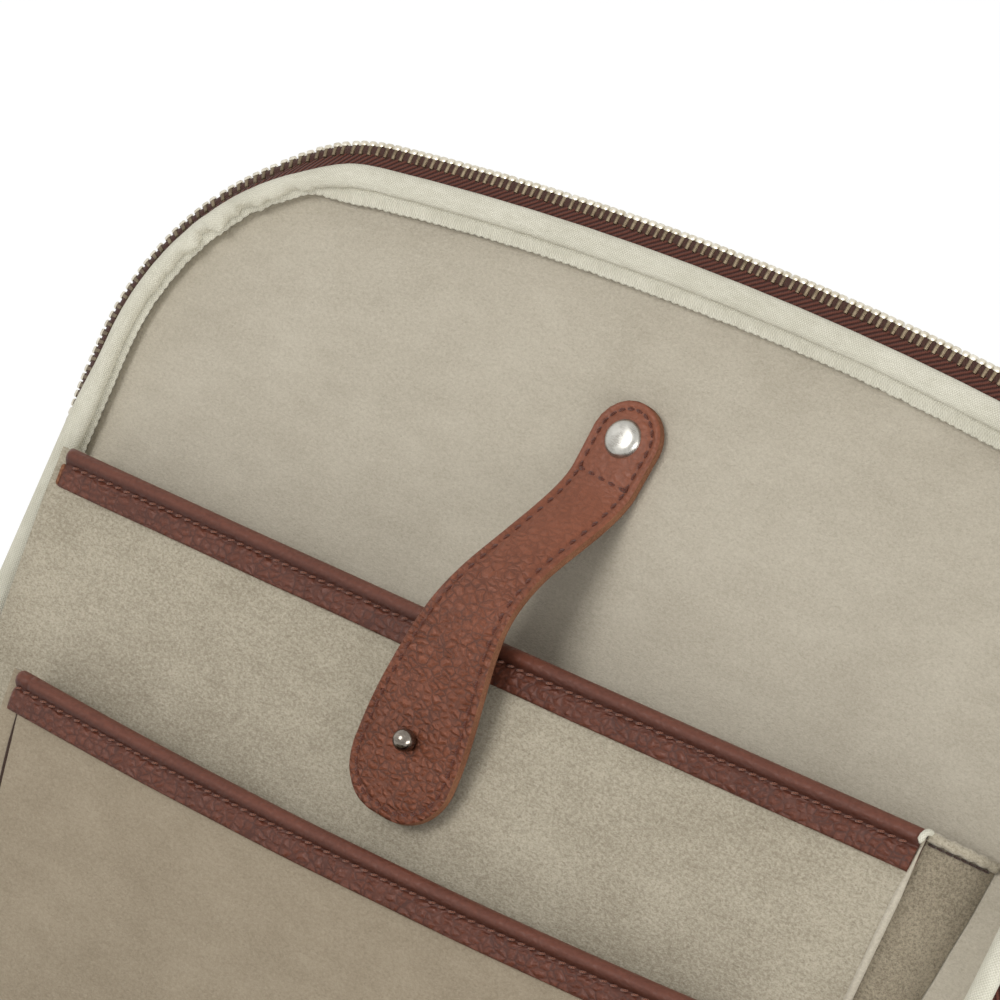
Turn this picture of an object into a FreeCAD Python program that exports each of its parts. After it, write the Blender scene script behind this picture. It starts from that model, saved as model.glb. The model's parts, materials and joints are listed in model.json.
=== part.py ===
import FreeCAD, Part
import math
import os

# Zip-around jewellery case that stands open. Millimetres, +Z up, floor at z = 0.
# Each half is drawn flat in its own frame: x across, y from the hinge line to the
# front edge, z out of the half's inside, with the hinge line at the origin.

# Outline of the case, shared by the base and the lid
front_half = 136.5        # half width where the side lines meet the front edge
back_half = 129.0         # half width at the back edge
case_depth = 226.6        # back edge to the middle of the front edge
front_bow = 11.0          # how far the front edge bows out in its middle
front_corner = 55.0       # radius of the two front corners
back_corner = 20.0        # radius of the two back corners

# Heights
base_height = 80.0        # floor to the hinge line
lid_height = 12.0         # hinge line to the outside of the lid
lid_lean = 40.0           # degrees the open lid leans back from upright

# Sheet thicknesses
leather = 1.2             # outer leather
board = 2.6               # stiff board under the leather
suede = 1.0               # lining
panel = 1.5               # pocket front, suede on a backing
trim_leather = 1.2        # leather rolled over a pocket mouth
strap_leather = 1.4       # each layer of the strap
tape = 0.7                # zip tape

# Edge and seam
edge_round = 3.2          # outer round of the leather at the bottom edge
seam_drop = 4.0           # hinge plane down to the top of the leather wall
binding_height = 6.6      # bound seam, foot to crown
binding_drop = 0.4        # hinge plane down to the crown of the binding
binding_out = 2.0         # how far the binding's roll stands outside the leather wall
binding_roll = 5.4        # across the roll
binding_band = 2.2        # flat band inside the roll
binding_round = 1.3       # round of the crown

# Zip
tape_width = 5.0          # tape beyond its flat step
tape_step = 0.9           # flat part of the tape before it turns down
tape_seat = 0.3           # sewn edge of the tape to the binding's band
tape_end = 30.0           # hinge line to the two ends of each chain
front_droop = 8.0         # degrees the tape turns down at the front edge
lid_side_droop = 36.0     # the same at the sides of the lid
base_side_droop = 8.0     # the same at the sides of the base
droop_from = 0.12         # sideways lean of the edge where the extra turn starts, 0 to 1
droop_to = 0.6            # the same where it is complete
tape_section_count = 72   # sections the tape is drawn through
tooth_pitch = 2.1
tooth_width = 1.5         # along the chain
tooth_reach = 2.4         # out from the tape
tooth_thick = 1.7
tooth_gap = 0.05          # tape edge to tooth
stop_length = 3.2         # end stop, along the chain

# Hinge
spine_radius = 3.5        # rolled leather spine
spine_gap = 0.4           # spine to each back wall
spine_length = 204.0

# Pockets, measured in the lid frame. The rise is from the lining to the middle of the panel.
pocket_foot = 14.0        # hinge line to the seam at the foot of both pockets
pocket_shift = -5.9       # both pockets sit this far to the left
upper_mouth = 144.0       # hinge line to the upper mouth
upper_rise = 13.5
upper_room = 16.2         # side of the case to the edge of the pocket, at the mouth
upper_foot_room = 19.4    # the same at the foot
upper_crown = 1.2         # how far the front bulges
lower_mouth = 95.5
lower_rise = 21.0
lower_room = 32.4
lower_foot_room = 31.6
lower_crown = 2.4
trim_height = 8.8         # leather on the face of a mouth
trim_round = 1.3
gusset = 1.0              # side fold of a pocket
left_flare = 2.6          # how far the foot of the upper left fold stands outside its pocket
right_flare = 10.6        # the same for the upper right fold, which reaches over to the binding
lower_flare = 1.5         # the same for the two lower folds
sewn_gap = 0.05           # between layers that are sewn together
pattern_step = 0.1        # pockets are cut to the nearest such step

# Strap, rivet and stud
strap_x = 1.2             # rivet to the middle of the case
rivet_above_mouth = 49.2  # upper pocket's mouth to the rivet
strap_skew = 4.6          # degrees the strap swings to the left
strap_head = 8.6          # half width and end radius at the rivet
strap_waist = 8.1         # half width at the waist
waist_from_rivet = 30.0
strap_half = 13.8         # half width at the free end
wide_from_rivet = 78.0    # rivet to where that width is reached
strap_round = 12.0        # corner radius of the free end
strap_length = 92.9       # rivet to the free end
stitch_from_rivet = 12.0  # rivet to the stitch line across the strap
stud_from_rivet = 76.0
strap_lift = 20.1         # underside of the strap above the lining at the upper mouth
strap_end_lift = 13.5     # the same at the free end
strap_start = 0.3         # the same at the rivet
strap_spring = 0.81       # below 1, the strap rises sooner after its stitch line
strap_slit = 1.1          # between the fixed root and the tongue that lifts
strap_samples = 22        # points along each face of the strap
side_samples = 14         # points along each side of its plan
rivet_radius = 4.4
rivet_dome = 1.8
rivet_shank = 1.8
rivet_plate = 0.8
shank_gap = 0.05
stud_flange = 3.6
stud_flange_thick = 1.0
stud_neck = 1.5
stud_neck_height = 6.6
stud_ball = 2.5
stud_shank = 1.2
stud_play = 0.5           # ball to the hole in the strap
stud_slot = 1.6           # how far the hole is drawn out each way along the strap

# Slider and pull
slider_at = 46.0          # hinge line to the slider
slider_length = 9.0
slider_wall = 1.1
slider_gap = 0.4          # slider to the teeth
slider_back = 1.6         # how far the slider reaches in over the tape
lug_length = 3.4          # lugs that stand out from the slider
lug_wide = 1.5
lug_thick = 3.0
pin_radius = 0.7
pull_play = 0.08          # pin to the eye of the pull
pull_side_gap = 0.4       # pull to each lug
pull_eye = 1.5            # outer radius of the eye
pull_length = 24.0
pull_end_wide = 9.0
pull_end_round = 3.0

# Inside the base
divider = 4.0             # suede over board
divider_height = 30.0
divider_gap = 0.2         # divider to the lining
divider_round = 1.5
long_divider_y = 112.0    # hinge line to the near face of the long divider
cross_divider_x = 44.0    # middle of the case to each cross divider
ring_half = 74.0          # half length of the ring bed
ring_bed_height = 12.0
ring_bed_setback = 18.5   # front edge of the case to the front of the ring bed
roll_count = 5
roll_height = 18.0
roll_foot = 0.72          # foot of a roll, as a share of its pitch
roll_belly = 0.5          # height of the widest part, as a share of the height
roll_gap = 0.35

# Worked out from the above
back_y = spine_radius + spine_gap
front_y = back_y + case_depth
mid_y = back_y + case_depth / 2
corner_y = front_y - front_bow
lid_floor = -(binding_drop + binding_height)
base_floor = -base_height + leather + board + suede
roll_inset = binding_roll - binding_out
binding_inset = roll_inset + binding_band
tape_top = tape - seam_drop
rivet_y = upper_mouth + rivet_above_mouth
stitch_y = rivet_y - stitch_from_rivet
ring_bed_front = front_y - ring_bed_setback
strap_thick = 2 * strap_leather + sewn_gap
X_AXIS = FreeCAD.Vector(1, 0, 0)
Z_AXIS = FreeCAD.Vector(0, 0, 1)
ORIGIN = FreeCAD.Vector(0, 0, 0)


def vec(x, y, z):
    return FreeCAD.Vector(x, y, z)


def yz(point):
    return vec(0, point[0], point[1])


def prism(wire, low, high):
    face = Part.Face(wire)
    face.translate(vec(0, 0, low))
    return face.extrude(vec(0, 0, high - low))


def polygon(points):
    return Part.makePolygon(points + [points[0]])


def flat_edges(shape, level):
    found = []
    for edge in shape.Edges:
        box = edge.BoundBox
        if abs(box.ZMin - level) < 1e-4 and abs(box.ZMax - level) < 1e-4:
            found.append(edge)
    return found


def place_lid(shape):
    moved = shape.copy()
    moved.rotate(ORIGIN, X_AXIS, 90 - lid_lean)
    moved.translate(vec(0, mid_y, base_height))
    return moved


def place_base(shape):
    moved = shape.copy()
    moved.rotate(ORIGIN, Z_AXIS, 180)
    moved.translate(vec(0, mid_y, base_height))
    return moved


def save(name, shape):
    shape.exportStep("parts/" + name + ".step")


# The outline: straight back and sides, a bowed front edge and four round corners.
front_arc = Part.Arc(vec(-front_half, corner_y, 0), vec(0, front_y, 0), vec(front_half, corner_y, 0))
side_left = Part.makeLine(vec(-back_half, back_y, 0), vec(-front_half, corner_y, 0))
side_right = Part.makeLine(vec(front_half, corner_y, 0), vec(back_half, back_y, 0))
back_edge = Part.makeLine(vec(back_half, back_y, 0), vec(-back_half, back_y, 0))
sharp = prism(Part.Wire([side_left, front_arc.toShape(), side_right, back_edge]), 0, 1)
uprights = [e for e in sharp.Edges if e.BoundBox.ZLength > 0.5]
front_uprights = [e for e in uprights if e.BoundBox.YMin > mid_y]
rounded = sharp.makeFillet(front_corner, front_uprights)
uprights = [e for e in rounded.Edges if e.BoundBox.ZLength > 0.5]
back_uprights = [e for e in uprights if e.BoundBox.YMax < back_y + back_corner / 2]
rounded = rounded.makeFillet(back_corner, back_uprights)
foot_faces = [f for f in rounded.Faces if f.BoundBox.ZMax < 1e-4]
OUTLINE = foot_faces[0].OuterWire


def outline(inset):
    if inset == 0:
        return OUTLINE
    shifted = OUTLINE.makeOffset2D(-inset)
    if (shifted.BoundBox.XLength < OUTLINE.BoundBox.XLength) == (inset > 0):
        return shifted
    return OUTLINE.makeOffset2D(inset)


def open_box(inset, thick, low, high, round_out):
    # A floor and a wall of one thickness, rounded along the bottom edge.
    outer = prism(outline(inset), low, high)
    if round_out > 0:
        outer = outer.makeFillet(round_out, flat_edges(outer, low))
    inner = prism(outline(inset + thick), low + thick, high + thick)
    if round_out > thick:
        inner = inner.makeFillet(round_out - thick, flat_edges(inner, low + thick))
    return outer.cut(inner)


def binding_ring():
    # A flat band against the wall, and a roll above it that reaches out over the tape.
    band = prism(outline(leather), lid_floor, tape_top)
    band = band.cut(prism(outline(binding_inset), lid_floor, tape_top))
    roll = prism(outline(-binding_out), tape_top, -binding_drop)
    roll = roll.cut(prism(outline(roll_inset), tape_top, -binding_drop))
    behind = Part.makeBox(4 * back_half, back_y, seam_drop, vec(-2 * back_half, 0, -seam_drop))
    roll = roll.cut(behind)
    roll = roll.makeFillet(binding_round, flat_edges(roll, -binding_drop))
    return band.fuse(roll)


# Stations along the outline, from one end of the zip round the front to the other.
def stations(count):
    points = OUTLINE.discretize(Number=4000)
    start = min(range(len(points)), key=lambda i: abs(points[i].x) + abs(points[i].y - back_y))
    points = points[start:] + points[1:start + 1]
    if points[200].x > points[0].x:
        points.reverse()
    points = [p for p in points if p.y > tape_end]
    lengths = [0.0]
    for i in range(1, len(points)):
        lengths.append(lengths[-1] + points[i].distanceToPoint(points[i - 1]))
    if count is None:
        count = int(lengths[-1] / tooth_pitch)
    result = []
    i = 0
    for k in range(count):
        want = lengths[-1] * k / (count - 1)
        while i < len(lengths) - 2 and lengths[i + 1] < want:
            i += 1
        share = (want - lengths[i]) / (lengths[i + 1] - lengths[i])
        spot = points[i] + (points[i + 1] - points[i]) * share
        along = points[min(i + 6, len(points) - 1)] - points[max(i - 5, 0)]
        along.normalize()
        out = along.cross(Z_AXIS)
        if out.dot(spot - vec(0, mid_y, 0)) < 0:
            out = out * -1
        result.append((spot, along, out))
    return result


def smooth(share):
    return 3 * share ** 2 - 2 * share ** 3


def droop_at(out, side_droop):
    lean = (abs(out.x) - droop_from) / (droop_to - droop_from)
    extra = smooth(min(max(lean, 0), 1))
    return math.radians(front_droop + (side_droop - front_droop) * extra)


def tape_corner(spot, out, droop):
    # Where the outer edge of the tape's upper face lies.
    turn = spot + out * tape_step + Z_AXIS * tape_top
    reach = out * math.cos(droop) - Z_AXIS * math.sin(droop)
    lift = out * math.sin(droop) + Z_AXIS * math.cos(droop)
    return turn, reach, lift


def zip_tape(side_droop):
    wires = []
    for spot, along, out in stations(tape_section_count):
        droop = droop_at(out, side_droop)
        turn, reach, lift = tape_corner(spot, out, droop)
        sewn = spot - out * (leather - tape_seat) + Z_AXIS * tape_top
        edge = turn + reach * tape_width
        under_edge = edge - lift * tape
        under_turn = turn - Z_AXIS * tape - out * (tape * math.tan(droop / 2))
        under_sewn = sewn - Z_AXIS * tape
        wires.append(polygon([sewn, turn, edge, under_edge, under_turn, under_sewn]))
    return Part.makeLoft(wires, True, True)


def chain_block(spot, along, out, side_droop, length):
    # A block on the chain: its frame follows the edge of the tape.
    turn, reach, lift = tape_corner(spot, out, droop_at(out, side_droop))
    middle = turn + reach * (tape_width + tooth_gap) - lift * (tape / 2)
    across = lift.cross(reach)
    block = Part.makeBox(tooth_reach, length, tooth_thick, vec(0, -length / 2, -tooth_thick / 2))
    frame = FreeCAD.Matrix()
    frame.A11, frame.A21, frame.A31 = reach.x, reach.y, reach.z
    frame.A12, frame.A22, frame.A32 = across.x, across.y, across.z
    frame.A13, frame.A23, frame.A33 = lift.x, lift.y, lift.z
    frame.A14, frame.A24, frame.A34 = middle.x, middle.y, middle.z
    block.Placement = FreeCAD.Placement(frame)
    return block


def zip_teeth(side_droop):
    spots = stations(None)[2:-2]
    return Part.makeCompound([chain_block(s, a, o, side_droop, tooth_width) for s, a, o in spots])


def zip_stops(side_droop):
    ends = stations(None)
    pair = [ends[0], ends[-1]]
    return Part.makeCompound([chain_block(s, a, o, side_droop, stop_length) for s, a, o in pair])


# Lid shell
lid_bottom = -lid_height
save("lid_outer_leather", place_lid(open_box(0, leather, lid_bottom, -seam_drop, edge_round)))
board_low = lid_bottom + leather
lid_board = prism(outline(leather), board_low, lid_floor - suede)
lid_board = lid_board.makeFillet(edge_round - leather, flat_edges(lid_board, board_low))
seat_foot = vec(strap_x, rivet_y, lid_floor - suede - rivet_plate)
rivet_seat = Part.makeCylinder(rivet_radius + shank_gap, rivet_plate, seat_foot)
lid_board = lid_board.cut(rivet_seat)
save("lid_board", place_lid(lid_board))
lid_lining = prism(outline(leather), lid_floor - suede, lid_floor)
rivet_hole = Part.makeCylinder(rivet_shank + shank_gap, suede, vec(strap_x, rivet_y, lid_floor - suede))
save("lid_lining", place_lid(lid_lining.cut(rivet_hole)))
save("lid_binding", place_lid(binding_ring()))
save("lid_zip_tape", place_lid(zip_tape(lid_side_droop)))
save("lid_zip_teeth", place_lid(zip_teeth(lid_side_droop)))
save("lid_zip_stops", place_lid(zip_stops(lid_side_droop)))

# Base shell
save("base_outer_leather", place_base(open_box(0, leather, -base_height, -seam_drop, edge_round)))
base_board = open_box(leather, board, -base_height + leather, lid_floor, edge_round - leather)
save("base_board", place_base(base_board))
save("base_lining", place_base(open_box(leather + board, suede, base_floor - suede, lid_floor, 0)))
save("base_binding", place_base(binding_ring()))
save("base_zip_tape", place_base(zip_tape(base_side_droop)))
save("base_zip_teeth", place_base(zip_teeth(base_side_droop)))
save("base_zip_stops", place_base(zip_stops(base_side_droop)))

# Spine: a leather roll round a cord, on the hinge line
spine_end = vec(-spine_length / 2, 0, 0)
cord_radius = spine_radius - leather
spine_cord = Part.makeCylinder(cord_radius, spine_length, spine_end, X_AXIS)
spine_roll = Part.makeCylinder(spine_radius, spine_length, spine_end, X_AXIS).cut(spine_cord)
save("hinge_leather", place_base(spine_roll))
save("hinge_cord", place_base(spine_cord))


# Pockets. A front is a shallow arc in the y-z plane, from the foot seam to the mouth.
class Pocket:
    def __init__(self, foot, mouth, crown):
        chord_y = mouth[0] - foot[0]
        chord_z = mouth[1] - foot[1]
        chord = math.hypot(chord_y, chord_z)
        self.radius = chord ** 2 / (8 * crown) + crown / 2
        drop = self.radius - crown
        self.cy = (foot[0] + mouth[0]) / 2 + chord_z / chord * drop
        self.cz = (foot[1] + mouth[1]) / 2 - chord_y / chord * drop
        self.start = math.atan2(mouth[1] - self.cz, mouth[0] - self.cy)
        self.length = self.radius * (math.atan2(foot[1] - self.cz, foot[0] - self.cy) - self.start)

    def at(self, run, off):
        # A point this far down from the mouth and this far out from the middle of the panel.
        angle = self.start + run / self.radius
        reach = self.radius + off
        return (self.cy + reach * math.cos(angle), self.cz + reach * math.sin(angle))

    def arc(self, run_a, run_b, off):
        middle = (run_a + run_b) / 2
        points = [yz(self.at(run, off)) for run in (run_a, middle, run_b)]
        return Part.Arc(points[0], points[1], points[2]).toShape()

    def band(self, run_a, run_b, low, high):
        upper = self.arc(run_a, run_b, high)
        lower = self.arc(run_b, run_a, low)
        end_b = Part.makeLine(yz(self.at(run_b, high)), yz(self.at(run_b, low)))
        end_a = Part.makeLine(yz(self.at(run_a, low)), yz(self.at(run_a, high)))
        return across(Part.Wire([upper, end_b, lower, end_a]))

    def under(self, off):
        # Everything between the lining and this height under the panel.
        top = self.arc(0, self.length, off)
        foot = self.at(self.length, off)
        mouth = self.at(0, off)
        drop_foot = Part.makeLine(yz(foot), vec(0, foot[0], lid_floor))
        along = Part.makeLine(vec(0, foot[0], lid_floor), vec(0, mouth[0], lid_floor))
        rise_mouth = Part.makeLine(vec(0, mouth[0], lid_floor), yz(mouth))
        return across(Part.Wire([top, drop_foot, along, rise_mouth]))


def across(wire):
    face = Part.Face(wire)
    face.translate(vec(-front_half, 0, 0))
    return face.extrude(vec(2 * front_half, 0, 0))


def side_at(mouth_half, foot_half, mouth, y):
    return foot_half + (mouth_half - foot_half) * (y - pocket_foot) / (mouth - pocket_foot)


def plan(mouth_half, foot_half, mouth):
    near = pocket_foot - panel
    far = mouth + trim_height
    near_half = side_at(mouth_half, foot_half, mouth, near)
    far_half = side_at(mouth_half, foot_half, mouth, far)
    corners = [(-near_half, near), (near_half, near), (far_half, far), (-far_half, far)]
    return polygon([vec(pocket_shift + x, y, lid_floor) for x, y in corners])


def fold(side, mouth_half, foot_half, mouth, flare, height):
    # A leaning strip at one side of a pocket, from the lining up to the mouth.
    near = pocket_foot - panel
    far = mouth + trim_height
    wires = []
    for level, spread in ((0, flare), (height, 0)):
        corners = []
        for y, inset in ((near, 0), (far, 0), (far, gusset), (near, gusset)):
            half = side_at(mouth_half, foot_half, mouth, y) + spread - inset
            corners.append(vec(pocket_shift + side * half, y, lid_floor + level))
        wires.append(polygon(corners))
    return Part.makeLoft(wires, True, True)


def case_half(y):
    # Half width of the case between its straight sides.
    return back_half + (front_half - back_half) * (y - back_y) / (corner_y - back_y)


def pattern_half(y, room):
    return pattern_step * round((case_half(y) - room) / pattern_step)


upper_half = pattern_half(upper_mouth, upper_room)
upper_foot_half = pattern_half(pocket_foot, upper_foot_room)
lower_half = pattern_half(lower_mouth, lower_room)
lower_foot_half = pattern_half(pocket_foot, lower_foot_room)
half_panel = panel / 2
trim_out = half_panel + trim_leather
upper_foot_z = lid_floor + half_panel + sewn_gap
lower_foot_z = upper_foot_z + panel + sewn_gap
upper = Pocket((pocket_foot, upper_foot_z), (upper_mouth, lid_floor + upper_rise), upper_crown)
lower = Pocket((pocket_foot, lower_foot_z), (lower_mouth, lid_floor + lower_rise), lower_crown)


def pocket_front(pocket, mouth_half, foot_half, mouth):
    inside = prism(plan(mouth_half, foot_half, mouth), 0, 4 * lower_rise)
    return pocket.band(0, pocket.length, -half_panel, half_panel).common(inside)


def pocket_trim(pocket, mouth_half, foot_half, mouth):
    block = pocket.band(-trim_leather, trim_height, -trim_out, trim_out)
    lip_y = min(pocket.at(-trim_leather, off)[0] for off in (-trim_out, trim_out)) - sewn_gap
    lips = [e for e in block.Edges if e.BoundBox.YMin > lip_y and e.BoundBox.XLength > mouth_half]
    block = block.makeFillet(trim_round, lips)
    core = pocket.band(-sewn_gap, trim_height + panel, -half_panel - sewn_gap, half_panel + sewn_gap)
    inside = prism(plan(mouth_half, foot_half, mouth), 0, 4 * lower_rise)
    return block.cut(core).common(inside)


upper_front = pocket_front(upper, upper_half, upper_foot_half, upper_mouth)
lower_front = pocket_front(lower, lower_half, lower_foot_half, lower_mouth)
upper_space = upper.under(-trim_out - sewn_gap)
lower_space = lower.under(-trim_out - sewn_gap).cut(upper.under(half_panel + sewn_gap))


def largest(pieces):
    return max(pieces.Solids, key=lambda solid: solid.Volume)


# The stud stands square on the upper pocket's front.
skew = math.radians(strap_skew)
stud_x = strap_x - stud_from_rivet * math.sin(skew)
stud_y = rivet_y - stud_from_rivet * math.cos(skew)


def stud_frame(shape):
    run = upper_mouth - stud_y
    for step in range(8):
        run += upper.at(run, half_panel)[0] - stud_y
    foot = upper.at(run, half_panel)
    moved = shape.copy()
    moved.rotate(ORIGIN, X_AXIS, math.degrees(upper.start + run / upper.radius) - 90)
    moved.translate(vec(stud_x, foot[0], foot[1]))
    return moved


stud_tail = panel + rivet_plate
stud_bore = Part.makeCylinder(stud_shank + shank_gap, 3 * panel, vec(0, 0, -2 * panel))
upper_front = upper_front.cut(stud_frame(stud_bore))
stud_post = Part.makeCylinder(stud_flange, stud_flange_thick)
stud_post = stud_post.fuse(Part.makeCylinder(stud_neck, stud_neck_height))
stud_post = stud_post.fuse(Part.makeSphere(stud_ball, vec(0, 0, stud_neck_height + stud_neck)))
stud_post = stud_post.fuse(Part.makeCylinder(stud_shank, stud_tail, vec(0, 0, -stud_tail)))
washer = Part.makeCylinder(stud_flange, rivet_plate, vec(0, 0, -stud_tail - shank_gap))
washer_bore = Part.makeCylinder(stud_shank + shank_gap, rivet_plate, vec(0, 0, -stud_tail - shank_gap))
washer = washer.cut(washer_bore)
save("stud_post", place_lid(stud_frame(stud_post.removeSplitter())))
save("stud_washer", place_lid(stud_frame(washer)))

save("upper_pocket_front", place_lid(upper_front))
save("lower_pocket_front", place_lid(lower_front))
save("upper_pocket_trim", place_lid(pocket_trim(upper, upper_half, upper_foot_half, upper_mouth)))
save("lower_pocket_trim", place_lid(pocket_trim(lower, lower_half, lower_foot_half, lower_mouth)))
for side, word, upper_flare in ((-1, "left", left_flare), (1, "right", right_flare)):
    upper_fold = fold(side, upper_half, upper_foot_half, upper_mouth, upper_flare, upper_rise)
    lower_fold = fold(side, lower_half, lower_foot_half, lower_mouth, lower_flare, lower_rise)
    save("upper_pocket_gusset_" + word, place_lid(largest(upper_fold.common(upper_space))))
    save("lower_pocket_gusset_" + word, place_lid(largest(lower_fold.common(lower_space))))


# Strap: drawn straight down from the rivet, then swung about it.
def strap_height(y):
    end_y = rivet_y - strap_length
    if y > upper_mouth:
        share = (stitch_y - y) / (stitch_y - upper_mouth)
        return strap_start + (strap_lift - strap_start) * smooth(max(share, 0) ** strap_spring)
    share = (upper_mouth - y) / (upper_mouth - end_y)
    return strap_lift + (strap_end_lift - strap_lift) * smooth(min(share, 1))


def strap_side(off):
    # Points along one face of the strap, square to its underside.
    first = stitch_y - strap_slit
    last = rivet_y - strap_length - strap_round
    points = []
    for k in range(strap_samples):
        y = first + (last - first) * k / (strap_samples - 1)
        slope = (strap_height(y + sewn_gap) - strap_height(y - sewn_gap)) / (2 * sewn_gap)
        size = math.hypot(1, slope)
        points.append((y - off * slope / size, lid_floor + strap_height(y) + off / size))
    return points


def strap_layer(low, high):
    lower_points = [yz(p) for p in strap_side(low)]
    upper_points = [yz(p) for p in strap_side(high)]
    lower_curve = Part.BSplineCurve()
    lower_curve.interpolate(lower_points)
    upper_curve = Part.BSplineCurve()
    upper_curve.interpolate(upper_points)
    start = Part.makeLine(upper_points[0], lower_points[0])
    end = Part.makeLine(lower_points[-1], upper_points[-1])
    wire = Part.Wire([lower_curve.toShape(), end, upper_curve.toShape(), start])
    return across(wire).common(strap_plan)


def swing(shape):
    moved = shape.copy()
    moved.rotate(vec(0, rivet_y, 0), Z_AXIS, -strap_skew)
    moved.translate(vec(strap_x, 0, 0))
    return moved


def strap_width(down):
    # Half width this far below the rivet: a slim neck that swells to the wide free end.
    neck = min(down / waist_from_rivet, 1)
    swell = (down - waist_from_rivet) / (wide_from_rivet - waist_from_rivet)
    swell = smooth(min(max(swell, 0), 1))
    return strap_head + (strap_waist - strap_head) * neck + (strap_half - strap_waist) * swell


def strap_edge(side):
    downs = [strap_length * k / (side_samples - 1) for k in range(side_samples)]
    curve = Part.BSplineCurve()
    curve.interpolate([vec(side * strap_width(down), rivet_y - down, 0) for down in downs])
    return curve.toShape()


strap_end = rivet_y - strap_length
left_end = vec(-strap_half, strap_end, 0)
right_end = vec(strap_half, strap_end, 0)
top_line = Part.makeLine(vec(-strap_head, rivet_y, 0), vec(strap_head, rivet_y, 0))
end_line = Part.makeLine(right_end, left_end)
plan_height = 2 * strap_lift
strap_wire = Part.Wire(Part.__sortEdges__([strap_edge(-1), top_line, strap_edge(1), end_line]))
strap_plan = prism(strap_wire, 2 * lid_floor, plan_height)
upright_edges = [e for e in strap_plan.Edges if e.BoundBox.ZLength > strap_lift]
free_corners = [e for e in upright_edges if e.BoundBox.YMax < stitch_y]
strap_plan = strap_plan.makeFillet(strap_round, free_corners)
head = Part.makeCylinder(strap_head, plan_height - 2 * lid_floor, vec(0, rivet_y, 2 * lid_floor))
strap_plan = strap_plan.fuse(head).removeSplitter()

hole_radius = stud_ball + stud_play
hole_y = rivet_y - stud_from_rivet
hole_low = vec(-hole_radius, hole_y - stud_slot, 0)
stud_hole = Part.makeBox(2 * hole_radius, 2 * stud_slot, plan_height, hole_low)
for end in (-stud_slot, stud_slot):
    stud_hole = stud_hole.fuse(Part.makeCylinder(hole_radius, plan_height, vec(0, hole_y + end, 0)))

strap_backing = strap_layer(0, strap_leather).cut(stud_hole)
strap_face = strap_layer(strap_leather + sewn_gap, strap_thick).cut(stud_hole)
save("strap_backing", place_lid(swing(strap_backing)))
save("strap_face", place_lid(swing(strap_face)))

root_low = lid_floor + strap_start
root_top = root_low + strap_thick
root_half = 2 * strap_half
root_box = Part.makeBox(2 * root_half, strap_length, strap_thick, vec(-root_half, stitch_y, root_low))
root_hole = Part.makeCylinder(rivet_shank + shank_gap, strap_thick, vec(0, rivet_y, root_low))
save("strap_root", place_lid(swing(root_box.common(strap_plan).cut(root_hole))))

# Rivet: a dome and its shank, clenched on a plate under the lining
dome_radius = (rivet_radius ** 2 + rivet_dome ** 2) / (2 * rivet_dome)
dome = Part.makeSphere(dome_radius, vec(strap_x, rivet_y, root_top + rivet_dome - dome_radius))
keep = Part.makeBox(4 * rivet_radius, 4 * rivet_radius, 2 * rivet_dome)
keep.translate(vec(strap_x - 2 * rivet_radius, rivet_y - 2 * rivet_radius, root_top))
shank_foot = lid_floor - suede
shank = Part.makeCylinder(rivet_shank, root_top - shank_foot, vec(strap_x, rivet_y, shank_foot))
save("rivet_cap", place_lid(dome.common(keep).fuse(shank).removeSplitter()))
rivet_back = Part.makeCylinder(rivet_radius, rivet_plate, vec(strap_x, rivet_y, shank_foot - rivet_plate))
save("rivet_back", place_lid(rivet_back))

# Slider: a channel over the teeth on one straight side of the base, with two lugs and a pin.
# It is drawn with its own x along the tape's reach and its own y along the chain.
chain = [s for s in stations(None) if s[0].x < 0]
slider_station = min(chain, key=lambda s: abs(s[0].y - slider_at))
droop = droop_at(slider_station[2], base_side_droop)
slider_high = tooth_thick / 2 + slider_gap
slider_out = tooth_reach + slider_gap
half_slider = slider_length / 2
shell_low = vec(-slider_back, -half_slider, -slider_high - slider_wall)
shell_size = vec(slider_back + slider_out + slider_wall, slider_length, 2 * (slider_high + slider_wall))
slider = Part.makeBox(shell_size.x, shell_size.y, shell_size.z, shell_low)
channel_low = vec(-slider_back, -half_slider, -slider_high)
slider = slider.cut(Part.makeBox(slider_back + slider_out, slider_length, 2 * slider_high, channel_low))
lug_start = slider_out + slider_wall
pin_x = lug_start + lug_length - lug_thick / 2
for end in (-half_slider, half_slider - lug_wide):
    lug = Part.makeBox(lug_length - lug_thick / 2, lug_wide, lug_thick, vec(lug_start, end, -lug_thick / 2))
    tip = Part.makeCylinder(lug_thick / 2, lug_wide, vec(pin_x, end, 0), vec(0, 1, 0))
    slider = slider.fuse(lug).fuse(tip)
pin_foot = vec(pin_x, -half_slider, 0)
slider = slider.fuse(Part.makeCylinder(pin_radius, slider_length, pin_foot, vec(0, 1, 0)))
slider = slider.removeSplitter()

pull_wide = slider_length - 2 * lug_wide - 2 * pull_side_gap
half_pull = pull_wide / 2
eye = Part.makeCylinder(pull_eye, pull_wide, vec(pin_x, -half_pull, 0), vec(0, 1, 0))
blade_thick = pull_eye
half_end = pull_end_wide / 2
neck_drop = lug_thick
blade_wire = polygon([
    vec(pin_x, -half_pull, 0),
    vec(pin_x, -half_pull, -neck_drop),
    vec(pin_x, -half_end, -pull_length),
    vec(pin_x, half_end, -pull_length),
    vec(pin_x, half_pull, -neck_drop),
    vec(pin_x, half_pull, 0),
])
blade = Part.Face(blade_wire).extrude(vec(blade_thick, 0, 0))
blade.translate(vec(-blade_thick / 2, 0, 0))
blade_corners = [e for e in blade.Edges if e.BoundBox.ZMax < -pull_length + 1e-4 and e.BoundBox.XLength > 0]
blade_corners = [e for e in blade_corners if e.BoundBox.YLength < 1e-4]
blade = blade.makeFillet(pull_end_round, blade_corners)
pull = blade.fuse(eye)
pull = pull.cut(Part.makeCylinder(pin_radius + pull_play, slider_length, pin_foot, vec(0, 1, 0)))
pull = pull.removeSplitter()


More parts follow.
